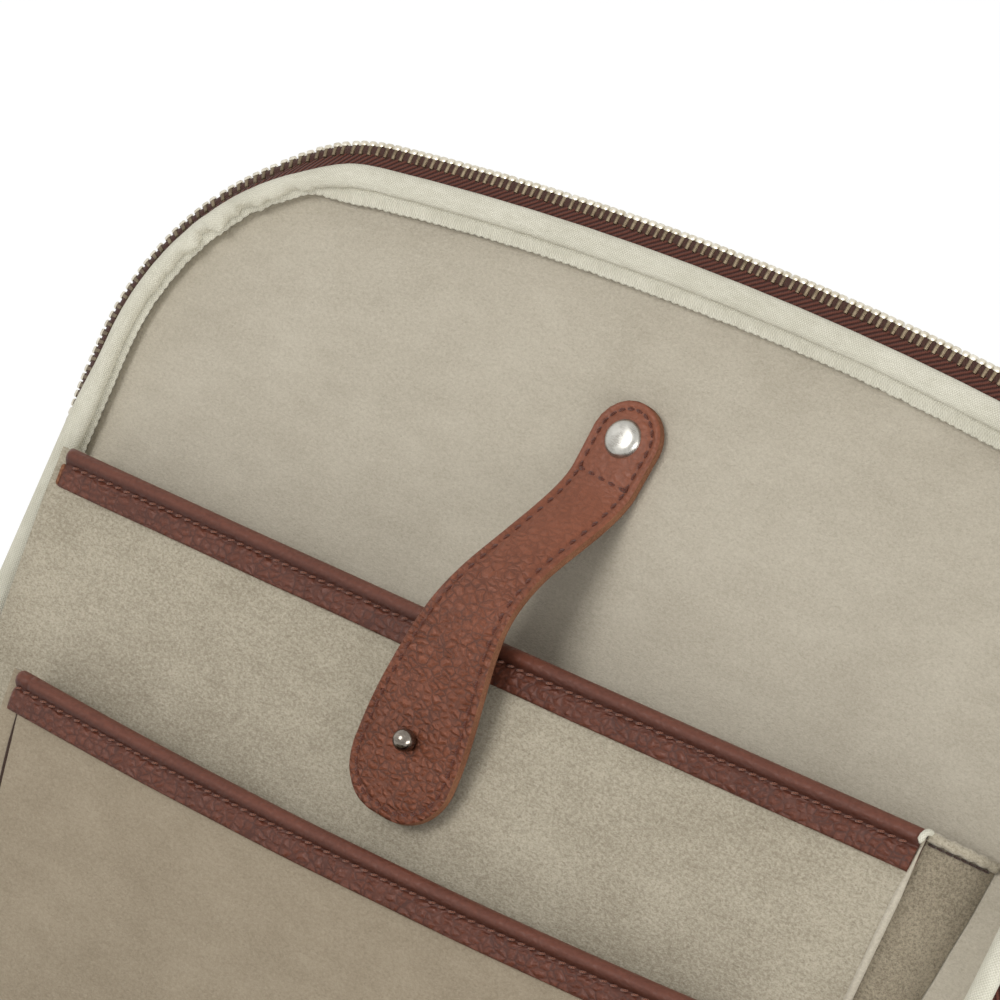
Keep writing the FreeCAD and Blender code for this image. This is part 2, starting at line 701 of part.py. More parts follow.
def on_chain(shape, turn):
    # Lays a shape drawn in the slider's frame onto the chain; turn undoes the droop for what hangs.
    spot, along, out = slider_station
    corner, reach, lift = tape_corner(spot, out, droop)
    middle = corner + reach * (tape_width + tooth_gap) - lift * (tape / 2)
    moved = shape.copy()
    moved.rotate(vec(pin_x, 0, 0), vec(0, 1, 0), turn)
    moved.rotate(ORIGIN, vec(0, 1, 0), math.degrees(droop))
    moved.rotate(ORIGIN, Z_AXIS, math.degrees(math.atan2(out.y, out.x)))
    moved.translate(middle)
    return moved


save("zip_slider", place_base(on_chain(slider, 0)))
save("zip_pull", place_base(on_chain(pull, -math.degrees(droop))))

# Inside the base: dividers, and a ring bed with soft rolls
room = prism(outline(leather + board + suede + divider_gap), base_floor, base_floor + divider_height)
wide = 2 * front_half
long_bar = Part.makeBox(wide, divider, divider_height, vec(-front_half, long_divider_y, base_floor))
long_bar = long_bar.common(room)
divider_top = base_floor + divider_height


def round_top(bar):
    edges = [e for e in flat_edges(bar, divider_top) if e.Length > 4 * divider]
    return bar.makeFillet(divider_round, edges)


save("divider_long", place_base(round_top(long_bar)))


def bar_pair(x, near, far):
    pair = []
    for middle in (-x, x):
        bar = Part.makeBox(divider, far - near, divider_height, vec(middle - divider / 2, near, base_floor))
        pair.append(round_top(bar.common(room)))
    return Part.makeCompound(pair)


ring_near = long_divider_y + divider + divider_gap
save("divider_cross", place_base(bar_pair(cross_divider_x, 0, long_divider_y - divider_gap)))
side_x = ring_half + divider_gap + divider / 2
save("divider_side", place_base(bar_pair(side_x, ring_near, front_y)))
front_low = vec(-ring_half, ring_bed_front + divider_gap, base_floor)
front_bar = Part.makeBox(2 * ring_half, divider, divider_height, front_low)
save("divider_front", place_base(round_top(front_bar.common(room))))
bed_low = vec(-ring_half, ring_near, base_floor)
bed = Part.makeBox(2 * ring_half, ring_bed_front - ring_near, ring_bed_height, bed_low)
save("ring_bed", place_base(bed))

roll_pitch = (ring_bed_front - ring_near) / roll_count
roll_low = base_floor + ring_bed_height
roll_half = roll_pitch / 2 - roll_gap / 2
foot_half = roll_half * roll_foot
belly_z = roll_low + roll_height * roll_belly
roll_top = roll_low + roll_height


def roll_at(middle):
    # A padded roll: narrow foot, full sides and a crowned top.
    left_foot = vec(0, middle - foot_half, roll_low)
    right_foot = vec(0, middle + foot_half, roll_low)
    left = vec(0, middle - roll_half, belly_z)
    right = vec(0, middle + roll_half, belly_z)
    foot = Part.makeLine(left_foot, right_foot)
    share = math.sin(math.radians(45))
    lower_mid = roll_low + (belly_z - roll_low) * (1 - share)
    lower_out = foot_half + (roll_half - foot_half) * share
    upper_mid = belly_z + (roll_top - belly_z) * share
    curve = Part.BSplineCurve()
    curve.interpolate([
        right_foot,
        vec(0, middle + lower_out, lower_mid),
        right,
        vec(0, middle + roll_half * share, upper_mid),
        vec(0, middle, roll_top),
        vec(0, middle - roll_half * share, upper_mid),
        left,
        vec(0, middle - lower_out, lower_mid),
        left_foot,
    ])
    face = Part.Face(Part.Wire([foot, curve.toShape()]))
    half = ring_half - roll_gap
    face.translate(vec(-half, 0, 0))
    return face.extrude(vec(2 * half, 0, 0))


rolls = [roll_at(ring_near + roll_pitch / 2 + roll_pitch * k) for k in range(roll_count)]
save("ring_rolls", place_base(Part.makeCompound(rolls)))
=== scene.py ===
# %% [markdown]
# # A zip-around leather jewellery case, standing open
# The camera looks at the inside of the lid: suede lining, two pockets with leather mouths, a stitched
# strap that buttons over a ball stud, a cream cotton binding and a metal zip round the edge. The CAD
# model is loaded first as a fixed frame. Everything soft is then built as its own mesh over it.

# %% Load the frame
import json
import math
import bmesh
import bpy
import numpy as np
from mathutils import Matrix, Vector, noise


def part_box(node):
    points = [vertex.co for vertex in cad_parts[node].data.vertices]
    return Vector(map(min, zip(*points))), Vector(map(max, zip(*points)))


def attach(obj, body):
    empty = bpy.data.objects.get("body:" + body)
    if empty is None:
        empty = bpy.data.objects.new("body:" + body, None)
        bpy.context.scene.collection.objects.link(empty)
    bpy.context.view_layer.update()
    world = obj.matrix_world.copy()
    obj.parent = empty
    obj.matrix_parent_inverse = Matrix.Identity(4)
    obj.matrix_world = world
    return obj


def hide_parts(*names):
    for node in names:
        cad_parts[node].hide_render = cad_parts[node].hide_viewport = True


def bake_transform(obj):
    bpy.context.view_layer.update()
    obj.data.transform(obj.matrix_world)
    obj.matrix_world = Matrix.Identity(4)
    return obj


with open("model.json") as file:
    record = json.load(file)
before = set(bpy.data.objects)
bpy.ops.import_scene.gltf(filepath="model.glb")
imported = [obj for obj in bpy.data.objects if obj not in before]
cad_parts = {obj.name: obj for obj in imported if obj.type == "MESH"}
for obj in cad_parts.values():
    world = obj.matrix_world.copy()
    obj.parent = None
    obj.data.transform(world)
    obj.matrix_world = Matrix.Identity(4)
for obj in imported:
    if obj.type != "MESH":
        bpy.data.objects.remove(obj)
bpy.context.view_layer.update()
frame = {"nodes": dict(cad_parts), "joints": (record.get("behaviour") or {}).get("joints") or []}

# %% [markdown]
# ## One frame for the lid and one for the base
# On the bench each half lies flat: x runs across, y from the hinge to the front edge, z out of the
# inside. Working in those flat millimetres keeps the pattern pieces simple. Two small functions then
# stand the lid up at its opening angle and turn the base round, so each piece lands where the CAD has
# it.

# %% Stand the halves up
hinge = Vector(next(j for j in frame["joints"] if j["name"] == "lid_hinge")["pos_m"])
LID_TILT = math.radians(50)
LID_COS, LID_SIN = math.cos(LID_TILT), math.sin(LID_TILT)


def in_lid(x, y, z):
    return hinge + Vector((x, y * LID_COS - z * LID_SIN, y * LID_SIN + z * LID_COS)) / 1000


def in_base(x, y, z):
    return hinge + Vector((-x, -y, z)) / 1000


def flat_lid(point):
    away = (point - hinge) * 1000
    return away.x, away.y * LID_COS + away.z * LID_SIN, away.z * LID_COS - away.y * LID_SIN


print("hinge line at", tuple(round(c, 4) for c in hinge))

# %% [markdown]
# ## The outline that both halves share
# Binding, tape, teeth, lining and leather all follow the same line round the case. It could be drawn
# again from its radii. Here it is read from the rim of the CAD lining, so it can't drift away from
# the solids, and then divided into even steps with a direction pointing outwards at each step.

# %% Read the outline
FLOOR = -7.0            # lining of the lid, below the hinge plane
RIVET = (1.2, 193.2)    # the rivet's hole is left out of the outline
MIDDLE = np.array((0.0, 117.2))
WALL = 1.2              # from the lining's rim to the outside of the leather


def read_rim():
    spots = []
    for vertex in frame["nodes"]["lid_lining"].data.vertices:
        x, y, z = flat_lid(vertex.co)
        if abs(z - FLOOR) < 0.05 and math.hypot(x - RIVET[0], y - RIVET[1]) > 10:
            spots.append((x, y))
    spots.sort(key=lambda p: (-math.pi / 2 - math.atan2(p[1] - MIDDLE[1], p[0])) % (2 * math.pi))
    kept = [spots[0]]
    for spot in spots[1:]:
        if math.dist(spot, kept[-1]) > 0.3:
            kept.append(spot)
    return np.array(kept)


def even_steps(points, count):
    loop = np.vstack([points, points[:1]])
    run = np.concatenate([[0], np.cumsum(np.linalg.norm(np.diff(loop, axis=0), axis=1))])
    want = np.linspace(0, run[-1], count, endpoint=False)
    return np.stack([np.interp(want, run, loop[:, k]) for k in (0, 1)], axis=1), run[-1]


def headings(points, spans, middle):
    """Unit steps along a closed line, and unit normals that point away from its middle."""
    ahead = sum(np.roll(points, -k, axis=0) - np.roll(points, k, axis=0) for k in spans)
    ahead /= np.linalg.norm(ahead, axis=1)[:, None]
    out = np.stack([-ahead[:, 1], ahead[:, 0]], axis=1)
    if np.mean(np.sum(out * (points - middle), axis=1)) < 0:
        out = -out
    return ahead, out


class Rim:
    """The case's edge, divided evenly. out is measured from the outside of the leather wall."""

    def __init__(self, count):
        spots, self.length = even_steps(read_rim(), count)
        self.ahead, self.out = headings(spots, range(1, 6), MIDDLE)
        self.spots = spots + self.out * WALL
        self.count = count
        self.step = self.length / count

    def at(self, i, out, z):
        x, y = self.spots[i % self.count] + self.out[i % self.count] * out
        return float(x), float(y), float(z)

    def ring(self, out, z, share=1.0):
        spread = MIDDLE + (self.spots + self.out * out - MIDDLE) * share
        return [(float(x), float(y), float(z)) for x, y in spread]


rim = Rim(800)
fine_rim = Rim(2200)
print("edge of the case", round(rim.length, 1), "mm round")

# %% [markdown]
# ## Finishes written as expressions
# A finish is a material made of nodes. Wiring them by hand in code is hard to read, so one small
# class wraps a socket and lets it be added and multiplied like a number. A second class makes any
# other node from its type, its settings and its socket values, and a third one holds a material.


# %% Sockets as expressions
class Flow:
    """An output socket that can be used in arithmetic."""

    def __init__(self, finish, socket):
        self.finish = finish
        self.socket = socket

    def math(self, operation, first, second=0.0):
        return self.finish.node("Math", {"operation": operation}, {0: first, 1: second})

    def __add__(self, other):
        return self.math("ADD", self, other)

    def __sub__(self, other):
        return self.math("SUBTRACT", self, other)

    def __rsub__(self, other):
        return self.math("SUBTRACT", other, self)

    def __mul__(self, other):
        return self.math("MULTIPLY", self, other)

    __radd__ = __add__
    __rmul__ = __mul__

    def wave(self, period):
        return self.math("SINE", self * (2 * math.pi / period)) * 0.5 + 0.5

    def rise(self, low, high):
        ends = {"Value": self, "From Min": low, "From Max": high}
        return self.finish.node("MapRange", {"interpolation_type": "SMOOTHSTEP"}, ends)


class Nodes:
    """A node tree of a material or a world, and the one method that adds nodes to it."""

    def __init__(self, tree):
        self.tree = tree

    def node(self, kind, settings=None, values=None, out=0):
        made = self.tree.nodes.new("ShaderNode" + kind)
        for key, value in (settings or {}).items():
            setattr(made, key, value)
        for key, value in (values or {}).items():
            self.feed(made.inputs[key], value)
        return Flow(self, made.outputs[out])

    def feed(self, socket, value):
        if isinstance(value, Flow):
            self.tree.links.new(value.socket, socket)
        else:
            socket.default_value = value


print("sockets can be added up now")


# %% A finish and its nodes
class Finish(Nodes):
    """A material with the few nodes that these finishes are made of."""

    def __init__(self, name, **fixed):
        self.material = bpy.data.materials.new(name)
        self.material.use_nodes = True
        super().__init__(self.material.node_tree)
        self.shader = self.tree.nodes["Principled BSDF"]
        for socket, value in fixed.items():
            self.shader.inputs[socket.replace("_", " ")].default_value = value

    def where(self, kind="Object"):
        return self.node("TexCoord", out=kind)

    def stretch(self, where, x, y, z):
        return self.node("VectorMath", {"operation": "MULTIPLY"}, {0: where, 1: (x, y, z)})

    def shifted(self, where, by, amount):
        moved = self.node("VectorMath", {"operation": "SCALE"}, {0: by, "Scale": amount})
        return self.node("VectorMath", {"operation": "ADD"}, {0: where, 1: moved})

    def uv(self):
        """Metres along a piece and across it."""
        where = self.where("UV")
        return [self.node("SeparateXYZ", None, {0: where}, axis) for axis in "XY"]

    def cloud(self, where, scale, detail=2.0, out="Fac"):
        return self.node("TexNoise", None, {"Vector": where, "Scale": scale, "Detail": detail}, out)

    def cells(self, where, scale):
        to_edge = {"feature": "DISTANCE_TO_EDGE"}
        return self.node("TexVoronoi", to_edge, {"Vector": where, "Scale": scale}, "Distance")

    def mix(self, share, first, second):
        return self.node("Mix", {"data_type": "RGBA"}, {0: share, 6: first, 7: second}, 2)

    def done(self, colour, rough, height, depth):
        """Colour, roughness and a bump whose height is in units of depth metres."""
        self.feed(self.shader.inputs["Base Color"], colour)
        self.feed(self.shader.inputs["Roughness"], rough)
        relief = self.node("Bump", None, {"Height": height, "Strength": 1.0, "Distance": depth})
        self.feed(self.shader.inputs["Normal"], relief)
        return self.material


def tone(red, green, blue):
    """A colour as seen on screen, 0 to 255, turned into the values that a shader uses."""
    parts = [c / 255 for c in (red, green, blue)]
    return tuple(c / 12.92 if c < 0.04045 else ((c + 0.055) / 1.055) ** 2.4 for c in parts) + (1.0,)


print("a cream of 216, 213, 196 is", [round(c, 3) for c in tone(216, 213, 196)])

# %% [markdown]
# ## Suede
# Lining and pockets are greige suede: a short nap that lies in soft patches, lighter where it was
# brushed one way. An image could carry that. Noise at three sizes does it without one: broad clouds,
# brushed streaks and the nap itself, which also feeds the bump. A little sheen gives the pale bloom
# of cloth seen at a slant.


# %% Suede finishes
def suede(name, light, dark, grain):
    finish = Finish(name, Sheen_Weight=0.25, Sheen_Roughness=0.5, Specular_IOR_Level=0.12)
    where = finish.where()
    broad = finish.cloud(where, 34.0, 3.0)
    brushed = finish.cloud(finish.stretch(where, 1.0, 2.4, 2.4), 90.0, 2.0)
    nap = finish.cloud(finish.stretch(where, 1.0, 1.8, 1.8), 2400.0, 2.0)
    pile = finish.cloud(finish.stretch(where, 1.0, 1.5, 1.5), 1150.0, 2.0)
    patches = broad * 0.6 + brushed * 0.4
    shade = (patches - 0.5) * 0.8 + (nap - 0.5) * grain + (pile - 0.5) * grain + 0.5
    colour = finish.mix(shade.rise(0.0, 1.0), dark, light)
    height = nap * 0.7 + pile * 0.7
    return finish.done(colour, 0.97 - 0.1 * nap, height, 0.0003 * grain)


LINING = suede("suede_lining", tone(199, 191, 174), tone(169, 160, 143), 0.7)
POCKET = suede("suede_pocket", tone(195, 186, 166), tone(146, 136, 117), 1.0)
# The lower pocket's suede is a darker copy of the pocket suede: painted shade for the tilt of that panel.
LOWER_POCKET_PAINTED_SHADE = suede("suede_lower_pocket", tone(171, 158, 137), tone(138, 125, 105), 0.65)
# The fold suede is darker still: painted shade, as the folds sit back in shade.
FOLD_PAINTED_SHADE = suede("suede_fold_painted_shade", tone(166, 155, 134), tone(114, 104, 87), 1.2)
print("made", LINING.name, POCKET.name, LOWER_POCKET_PAINTED_SHADE.name, FOLD_PAINTED_SHADE.name)

# %% [markdown]
# ## Pebbled leather
# The brown leather has a tumbled grain: soft pebbles a few millimetres wide with creases between them.
# Voronoi cells have just that plan, and their distance to the edge gives the height for the bump. It also
# colours the creases darker, partly the grain's own tone and partly painted shade, and the domed pebble
# tops lighter, a painted highlight. A mask can flatten the grain, because the strap is smooth where it was
# pulled tight.


# %% Leather finishes
def leather(name, light, dark, crease, cell, depth=0.0004, kind="Object", smooth=None, groove=None):
    finish = Finish(name, Specular_IOR_Level=0.31)
    where = finish.where(kind)
    warp = finish.cloud(where, 0.9 / cell, 3.0, "Color")
    bent = finish.stretch(finish.shifted(where, warp, cell * 0.9), 0.75, 1.2, 1.0)
    gap = finish.cells(bent, 1.0 / cell)
    dome = gap.rise(0.0, 0.45)
    pores = finish.cloud(where, 2600.0, 2.0)
    fine = finish.cloud(where, 900.0, 3.0)
    broad = finish.cloud(where, 60.0, 3.0)
    faint = finish.cloud(where, 0.4 / cell, 1.0).rise(0.3, 0.6)
    coarse = smooth(finish) if smooth else 1.0
    # dome lightens the pebble tops in colour: a painted highlight.
    shade = broad * 0.45 + dome * coarse * 0.14 + fine * 0.4 + pores * 0.2 - 0.14 * coarse + 0.08
    body = finish.mix(shade.rise(0.1, 0.95), dark, light)
    # line darkens the creases: the grain's own darker tone plus painted shade.
    line = (1.0 - gap.rise(0.0, 0.14)) * (faint * 0.6 + 0.4)
    colour = finish.mix(line * coarse * 0.7, body, crease)
    # groove paints shade into the valley under a trim's roll, in the crease colour.
    if groove:
        colour = finish.mix(groove(finish), colour, crease)
    height = dome * coarse + fine * 0.3 + pores * 0.1
    return finish.done(colour, 0.45 - 0.12 * dome + pores * 0.1, height, depth)


def strap_smooth(finish):
    """Coarse below the bend, fine above it. On the strap, v is the distance below the rivet in metres."""
    down = finish.uv()[1]
    wander = finish.cloud(finish.where("UV"), 90.0, 2.0) * 0.02 - 0.01
    return (down + wander).rise(0.02, 0.055) * 0.8 + 0.2


def trim_smooth(finish):
    """Nearly smooth on the roll and grained on the flap. On a trim, v goes round its section in metres."""
    round_it = finish.uv()[1]
    return round_it.rise(0.0155, 0.0175) * 0.7 + 0.2


def trim_valley_painted_shade(finish):
    """Painted shade, darkest in the valley under the roll, where the flap is sewn down, and fading to both
    sides.
    """
    round_it = finish.uv()[1]
    return round_it.rise(0.013, 0.0153) * (1.0 - round_it.rise(0.0158, 0.0172)) * 0.75


SHELL = leather("leather_shell", tone(134, 80, 58), tone(94, 52, 37), tone(74, 39, 28), cell=0.0024)
TRIM = leather("leather_trim", tone(116, 66, 49), tone(72, 37, 26), tone(56, 27, 19), cell=0.0021,
               depth=0.00036, kind="UV", smooth=trim_smooth, groove=trim_valley_painted_shade)
STRAP = leather("leather_strap", tone(145, 86, 62), tone(94, 52, 35), tone(56, 28, 18), cell=0.0018,
                depth=0.0005, kind="UV", smooth=strap_smooth)
print("three leathers from one recipe")

# %% [markdown]
# ## Cotton, zip tape, thread and raw edges
# The binding is a plain cotton weave, so two crossed waves along its own length and width draw the
# threads. The zip tape is a twill: ribs that slant across the tape. Thread is twisted yarn, a
# slanting wave round each stitch. The cut edge of the strap shows tan fibres. All of these follow UVs
# laid out in metres along each piece.


# %% Woven and cut finishes
def cotton(name):
    finish = Finish(name, Sheen_Weight=0.15, Specular_IOR_Level=0.15)
    where = finish.where("UV")
    along, across = finish.uv()
    wander = finish.cloud(where, 700.0, 2.0) * 0.0004
    warp = (along + across + wander).wave(0.00066)
    weft = (along - across + wander).wave(0.00066)
    weave = warp * 0.5 + weft * 0.5
    slub = finish.cloud(finish.stretch(where, 0.25, 1.0, 1.0), 1100.0, 2.0)
    soil = finish.cloud(finish.where(), 70.0, 3.0)
    shade = weave * 0.36 + slub * 0.34 + soil * 0.4
    colour = finish.mix(shade.rise(0.15, 0.9), tone(192, 188, 169), tone(232, 229, 213))
    return finish.done(colour, 0.95 - 0.06 * weave, weave * 0.8 + slub * 0.5, 0.00015)


def twill(name):
    finish = Finish(name, Sheen_Weight=0.2, Specular_IOR_Level=0.2)
    where = finish.where("UV")
    along, across = finish.uv()
    wander = finish.cloud(where, 500.0, 2.0) * 0.0005
    rib = (along - across * 1.4 + wander).wave(0.0018)
    yarn = (along + across * 0.6).wave(0.0005)
    fuzz = finish.cloud(where, 2600.0, 2.0)
    shade = rib * 0.55 + yarn * 0.15 + fuzz * 0.4
    colour = finish.mix(shade.rise(0.15, 0.95), tone(52, 27, 22), tone(112, 66, 54))
    return finish.done(colour, 0.9 - 0.05 * rib, rib * 0.9 + yarn * 0.15 + fuzz * 0.2, 0.00022)


def yarn(name, light, dark):
    finish = Finish(name, Sheen_Weight=0.2, Specular_IOR_Level=0.25)
    where = finish.where("UV")
    along, across = finish.uv()
    twist = (along * 1.6 + across).wave(0.0006)
    fuzz = finish.cloud(where, 3000.0, 1.0)
    colour = finish.mix(twist * 0.7 + fuzz * 0.3, dark, light)
    return finish.done(colour, 0.8 - 0.05 * twist, twist, 0.00012)


def cut_edge(name):
    finish = Finish(name, Specular_IOR_Level=0.2)
    where = finish.where()
    fibres = finish.cloud(finish.stretch(where, 0.4, 1.0, 1.0), 2200.0, 3.0)
    stain = finish.cloud(where, 120.0, 2.0)
    colour = finish.mix((fibres * 0.6 + stain * 0.5).rise(0.2, 0.9), tone(104, 64, 46), tone(152, 108, 80))
    return finish.done(colour, 0.9 - 0.08 * fibres, fibres, 0.0001)


COTTON = cotton("cotton_binding")
TWILL = twill("zip_twill")
THREAD = yarn("thread_red_brown", tone(158, 104, 82), tone(84, 44, 32))
STRAP_THREAD = yarn("thread_deep_red_brown", tone(126, 70, 52), tone(58, 26, 18))
SEAM = yarn("thread_dark", tone(78, 56, 43), tone(40, 26, 20))
# The bead is the tape's corded yarn, painted dark: partly its own tone, partly painted shade in the gaps
# between the teeth.
BEAD_PAINTED_SHADE = yarn("tape_bead_painted_shade", tone(94, 58, 47), tone(56, 33, 26))
RAW_EDGE = cut_edge("leather_cut_edge")
print("woven:", COTTON.name, TWILL.name)

# %% [markdown]
# ## Metal and the hidden stuff
# The rivet is bright nickel and the stud the same metal painted darker, a painted reflection of dark
# surroundings in its polished ball; both have fine handling scratches. The teeth are a little warmer and
# rougher, and their legs are a darker copy of that metal, painted shade between the teeth. Board, foam and
# cord are hidden inside, but they still get a grain of their own, so that a part taken out of the library
# looks right when it is opened up.


# %% Metal, board and cord finishes
def metal(name, light, dark, low, high):
    """low and high are the roughness of the polished and of the worn places."""
    finish = Finish(name, Metallic=1.0)
    where = finish.where()
    wear = finish.cloud(where, 420.0, 4.0)
    scratch = finish.cloud(finish.stretch(where, 1.0, 9.0, 3.0), 900.0, 3.0)
    shade = wear * 0.6 + scratch * 0.4
    colour = finish.mix(shade.rise(0.25, 0.75), dark, light)
    rough = low + (high - low) * shade.rise(0.3, 0.7)
    return finish.done(colour, rough, scratch * 0.6 + wear * 0.4, 0.000008)


def fibre(name, light, dark, scale):
    finish = Finish(name, Specular_IOR_Level=0.15)
    where = finish.where()
    fleck = finish.cloud(finish.stretch(where, 1.0, 1.6, 1.0), scale, 4.0)
    colour = finish.mix(fleck.rise(0.3, 0.7), dark, light)
    return finish.done(colour, 0.95 - 0.1 * fleck, fleck, 0.0001)


NICKEL = metal("nickel", tone(200, 198, 192), tone(160, 157, 150), 0.24, 0.4)
# The stud's nickel is painted darker: a painted reflection of dark surroundings in its polished ball.
STUD_NICKEL_PAINTED_DARK = metal("dark_nickel", tone(168, 160, 150), tone(96, 88, 80), 0.1, 0.24)
TEETH = metal("zip_head_metal", tone(240, 236, 224), tone(196, 186, 164), 0.25, 0.42)
# The legs are a darker copy of the head metal: painted shade between the teeth.
LEG_METAL_PAINTED_SHADE = metal("zip_leg_metal_painted_shade", tone(150, 136, 114), tone(88, 74, 57), 0.35, 0.55)
BOARD = fibre("grey_board", tone(150, 140, 124), tone(104, 95, 82), 900.0)
CORD = fibre("cotton_cord", tone(206, 198, 178), tone(160, 150, 130), 1500.0)


def dress(node, material):
    for slot in frame["nodes"][node].material_slots:
        slot.material = material


for node in ("rivet_back", "stud_washer"):
    dress(node, NICKEL)
for node in ("lid_board", "base_board"):
    dress(node, BOARD)
dress("hinge_cord", CORD)
print("dressed the metal, board and cord of the frame")

# %% [markdown]
# ## Lofting: most soft pieces are rings joined by quads
# A binding, a trim, a panel or a strap is one cross-section carried along a line. A curve with a
# bevel could do it, but the section changes along the way, at corners and ends. So rings of points
# are written out and joined, and the same step lays the UVs out in metres.


# %% The loft
def unrolled(rings):
    solid = np.array(rings)
    middles = solid.mean(axis=1)
    runs = np.linalg.norm(np.diff(np.vstack([middles, middles[:1]]), axis=0), axis=1)
    u = np.concatenate([[0], np.cumsum(runs)]) / 1000
    ring = solid[len(rings) // 2]
    sides = np.linalg.norm(np.diff(np.vstack([ring, ring[:1]]), axis=0), axis=1)
    v = np.concatenate([[0], np.cumsum(sides)]) / 1000
    return lambda i, j: (u[i], v[j])


def join_rings(work, rings, flat=None, along=False, caps=True, paint=None):
    """Joins rings of points by quads. flat gives the UVs of a point and paint the finish of a face."""
    rows, cols = len(rings), len(rings[0])
    verts = [[work.verts.new(p) for p in ring] for ring in rings]
    layer = work.loops.layers.uv.verify() if flat else None
    for i in range(rows if along else rows - 1):
        for j in range(cols):
            k, m = (i + 1) % rows, (j + 1) % cols
            face = work.faces.new((verts[i][j], verts[k][j], verts[k][m], verts[i][m]))
            face.smooth = True
            face.material_index = paint(i, j) if paint else 0
            if flat:
                corners = ((i, j), (i + 1, j), (i + 1, j + 1), (i, j + 1))
                for loop, spot in zip(face.loops, corners):
                    loop[layer].uv = flat(*spot)
    ends = (0, rows - 1) if caps else ()
    for i in ends:
        cap = work.faces.new(verts[i])
        if flat:
            for j, loop in enumerate(cap.loops):
                loop[layer].uv = flat(i, j)


def loft(name, rings, place, materials, flat=None, along=False, paint=None, crisp=None):
    work = bmesh.new()
    work.loops.layers.uv.new("UVMap")
    placed = [[place(*p) for p in ring] for ring in rings]
    join_rings(work, placed, flat or unrolled(rings), along, not along, paint)
    return as_piece(name, work, materials, crisp)


def stand(name, data):
    """Puts a mesh, a lamp or a camera into the scene as an object."""
    made = bpy.data.objects.new(name, data)
    bpy.context.scene.collection.objects.link(made)
    return made


def as_piece(name, work, materials, crisp=None):
    bmesh.ops.recalc_face_normals(work, faces=work.faces)
    mesh = bpy.data.meshes.new(name)
    work.to_mesh(mesh)
    work.free()
    piece = stand(name, mesh)
    for material in materials if isinstance(materials, (list, tuple)) else [materials]:
        mesh.materials.append(material)
    if crisp:
        mesh.set_sharp_from_angle(angle=math.radians(crisp))
    return piece


def carry(piece, body, slot, *nodes):
    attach(piece, body)
    if nodes:
        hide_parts(*nodes)
    return piece


def ripple(x, y, size, seed=0.0):
    """Even noise from -1 to 1 with waves of the given size."""
    return noise.noise(Vector((x / size, y / size, seed)))


def turns(count):
    """Angles of the points of a round section."""
    return np.linspace(0, 2 * math.pi, count, endpoint=False)


def boxy(value, power):
    """A sine or cosine made blunter, so that a round section comes closer to a box."""
    return math.copysign(abs(value) ** power, value)


print("loft ready")

# %% [markdown]
# ## Stitches
# Each stitch is a short spindle of thread that dives into the leather at both ends. A dashed texture
# would do from afar, but real spindles catch the light and cast the small shadows that make a seam
# look sewn. All stitches of one seam are joined in one mesh.


# %% Sewing
def sew(name, spots, material, long=2.3, thick=0.42, sink=0.5):
    """Each spot has a half's frame and, in its flat millimetres, the middle, the direction and up."""
    work = bmesh.new()
    work.loops.layers.uv.new("UVMap")
    shape = ((-1.0, 0.35), (-0.72, 0.85), (0.0, 1.0), (0.72, 0.85), (1.0, 0.35))
    flat = lambda i, k: (shape[i][0] * long / 2000, k * thick / 2000)
    for place, middle, along, up in spots:
        along = Vector(along).normalized()
        up = Vector(up).normalized()
        cross = along.cross(up)
        spokes = [cross * math.cos(t) + up * math.sin(t) for t in turns(6)]
        rows = []
        for reach, fat in shape:
            heart = Vector(middle) + along * (reach * long / 2) - up * (reach ** 2 * sink)
            rows.append([place(*(heart + spoke * (fat * thick / 2))) for spoke in spokes])
        join_rings(work, rows, flat, caps=False)
    return as_piece(name, work, material)


print("needle threaded")

# %% [markdown]
# ## Linings
# The lid's lining is suede glued over board, nearly flat, with the faint hollows that glue and
# handling leave. A plain disc would shade like card. Rings from the middle to the rim let noise lift
# and lower it by a third of a millimetre, and by more near the front corners. The base's lining is
# the same idea carried up the walls.


# %% Lid and base linings
def plan_uv(rings):
    return lambda i, j: tuple(c / 1000 for c in rings[i % len(rings)][j % len(rings[0])][:2])


def hollow(x, y):
    """Faint hollows all over, and deeper ones near the front corners, where the suede was eased in."""
    corner = math.exp(-((abs(x) - 96) ** 2 + (y - 196) ** 2) / 1100)
    eased = 0.75 * corner * ripple(x + y, (x - y) / 2, 15, 6.0)
    return 0.3 * ripple(x, y, 42) + 0.1 * ripple(x, y, 13) + eased


PINHOLE = 0.01          # the innermost ring of a disc, as a share of the outline
SUEDE_THICK = 0.9
BASE_FLOOR = -75.2


def disc(out, z, count):
    """Rings that fill the outline, each with its share of the full size."""
    shares = [PINHOLE] + [k / count for k in range(1, count + 1)]
    return [(share, rim.ring(out, z, share)) for share in shares]


def lid_lining():
    rings = []
    for share, ring in disc(-1.3, FLOOR, 40):
        fade = 1.0 - share ** 6
        rings.append([(x, y, z - 0.05 + fade * hollow(x, y)) for x, y, z in ring])
    rings += [rim.ring(-1.3, FLOOR - SUEDE_THICK, share) for share in (1.0, PINHOLE)]
    return loft("lid_suede", rings, in_lid, LINING, plan_uv(rings), crisp=50)


def base_lining():
    inset, curve, wall = -7.0, 2.2, 65.9
    rings = []
    for _, ring in disc(inset, BASE_FLOOR, 20):
        rings.append([(x, y, z + 0.25 * ripple(x, y, 40)) for x, y, z in ring])
    for angle in (math.radians(turn) for turn in (30, 60, 90)):
        rings.append(rim.ring(inset + curve * math.sin(angle), BASE_FLOOR + curve * (1 - math.cos(angle))))
    for step in range(1, 12):
        bulge = 0.25 * math.sin(math.pi * step / 11)
        rings.append(rim.ring(inset + curve - bulge, BASE_FLOOR + curve + (wall * step) / 11))
    rings.append(rim.ring(-3.9, FLOOR))
    rings += [rim.ring(-3.9, BASE_FLOOR - SUEDE_THICK, share) for share in (1.0, PINHOLE)]
    return loft("base_suede", rings, in_base, LINING, crisp=50)


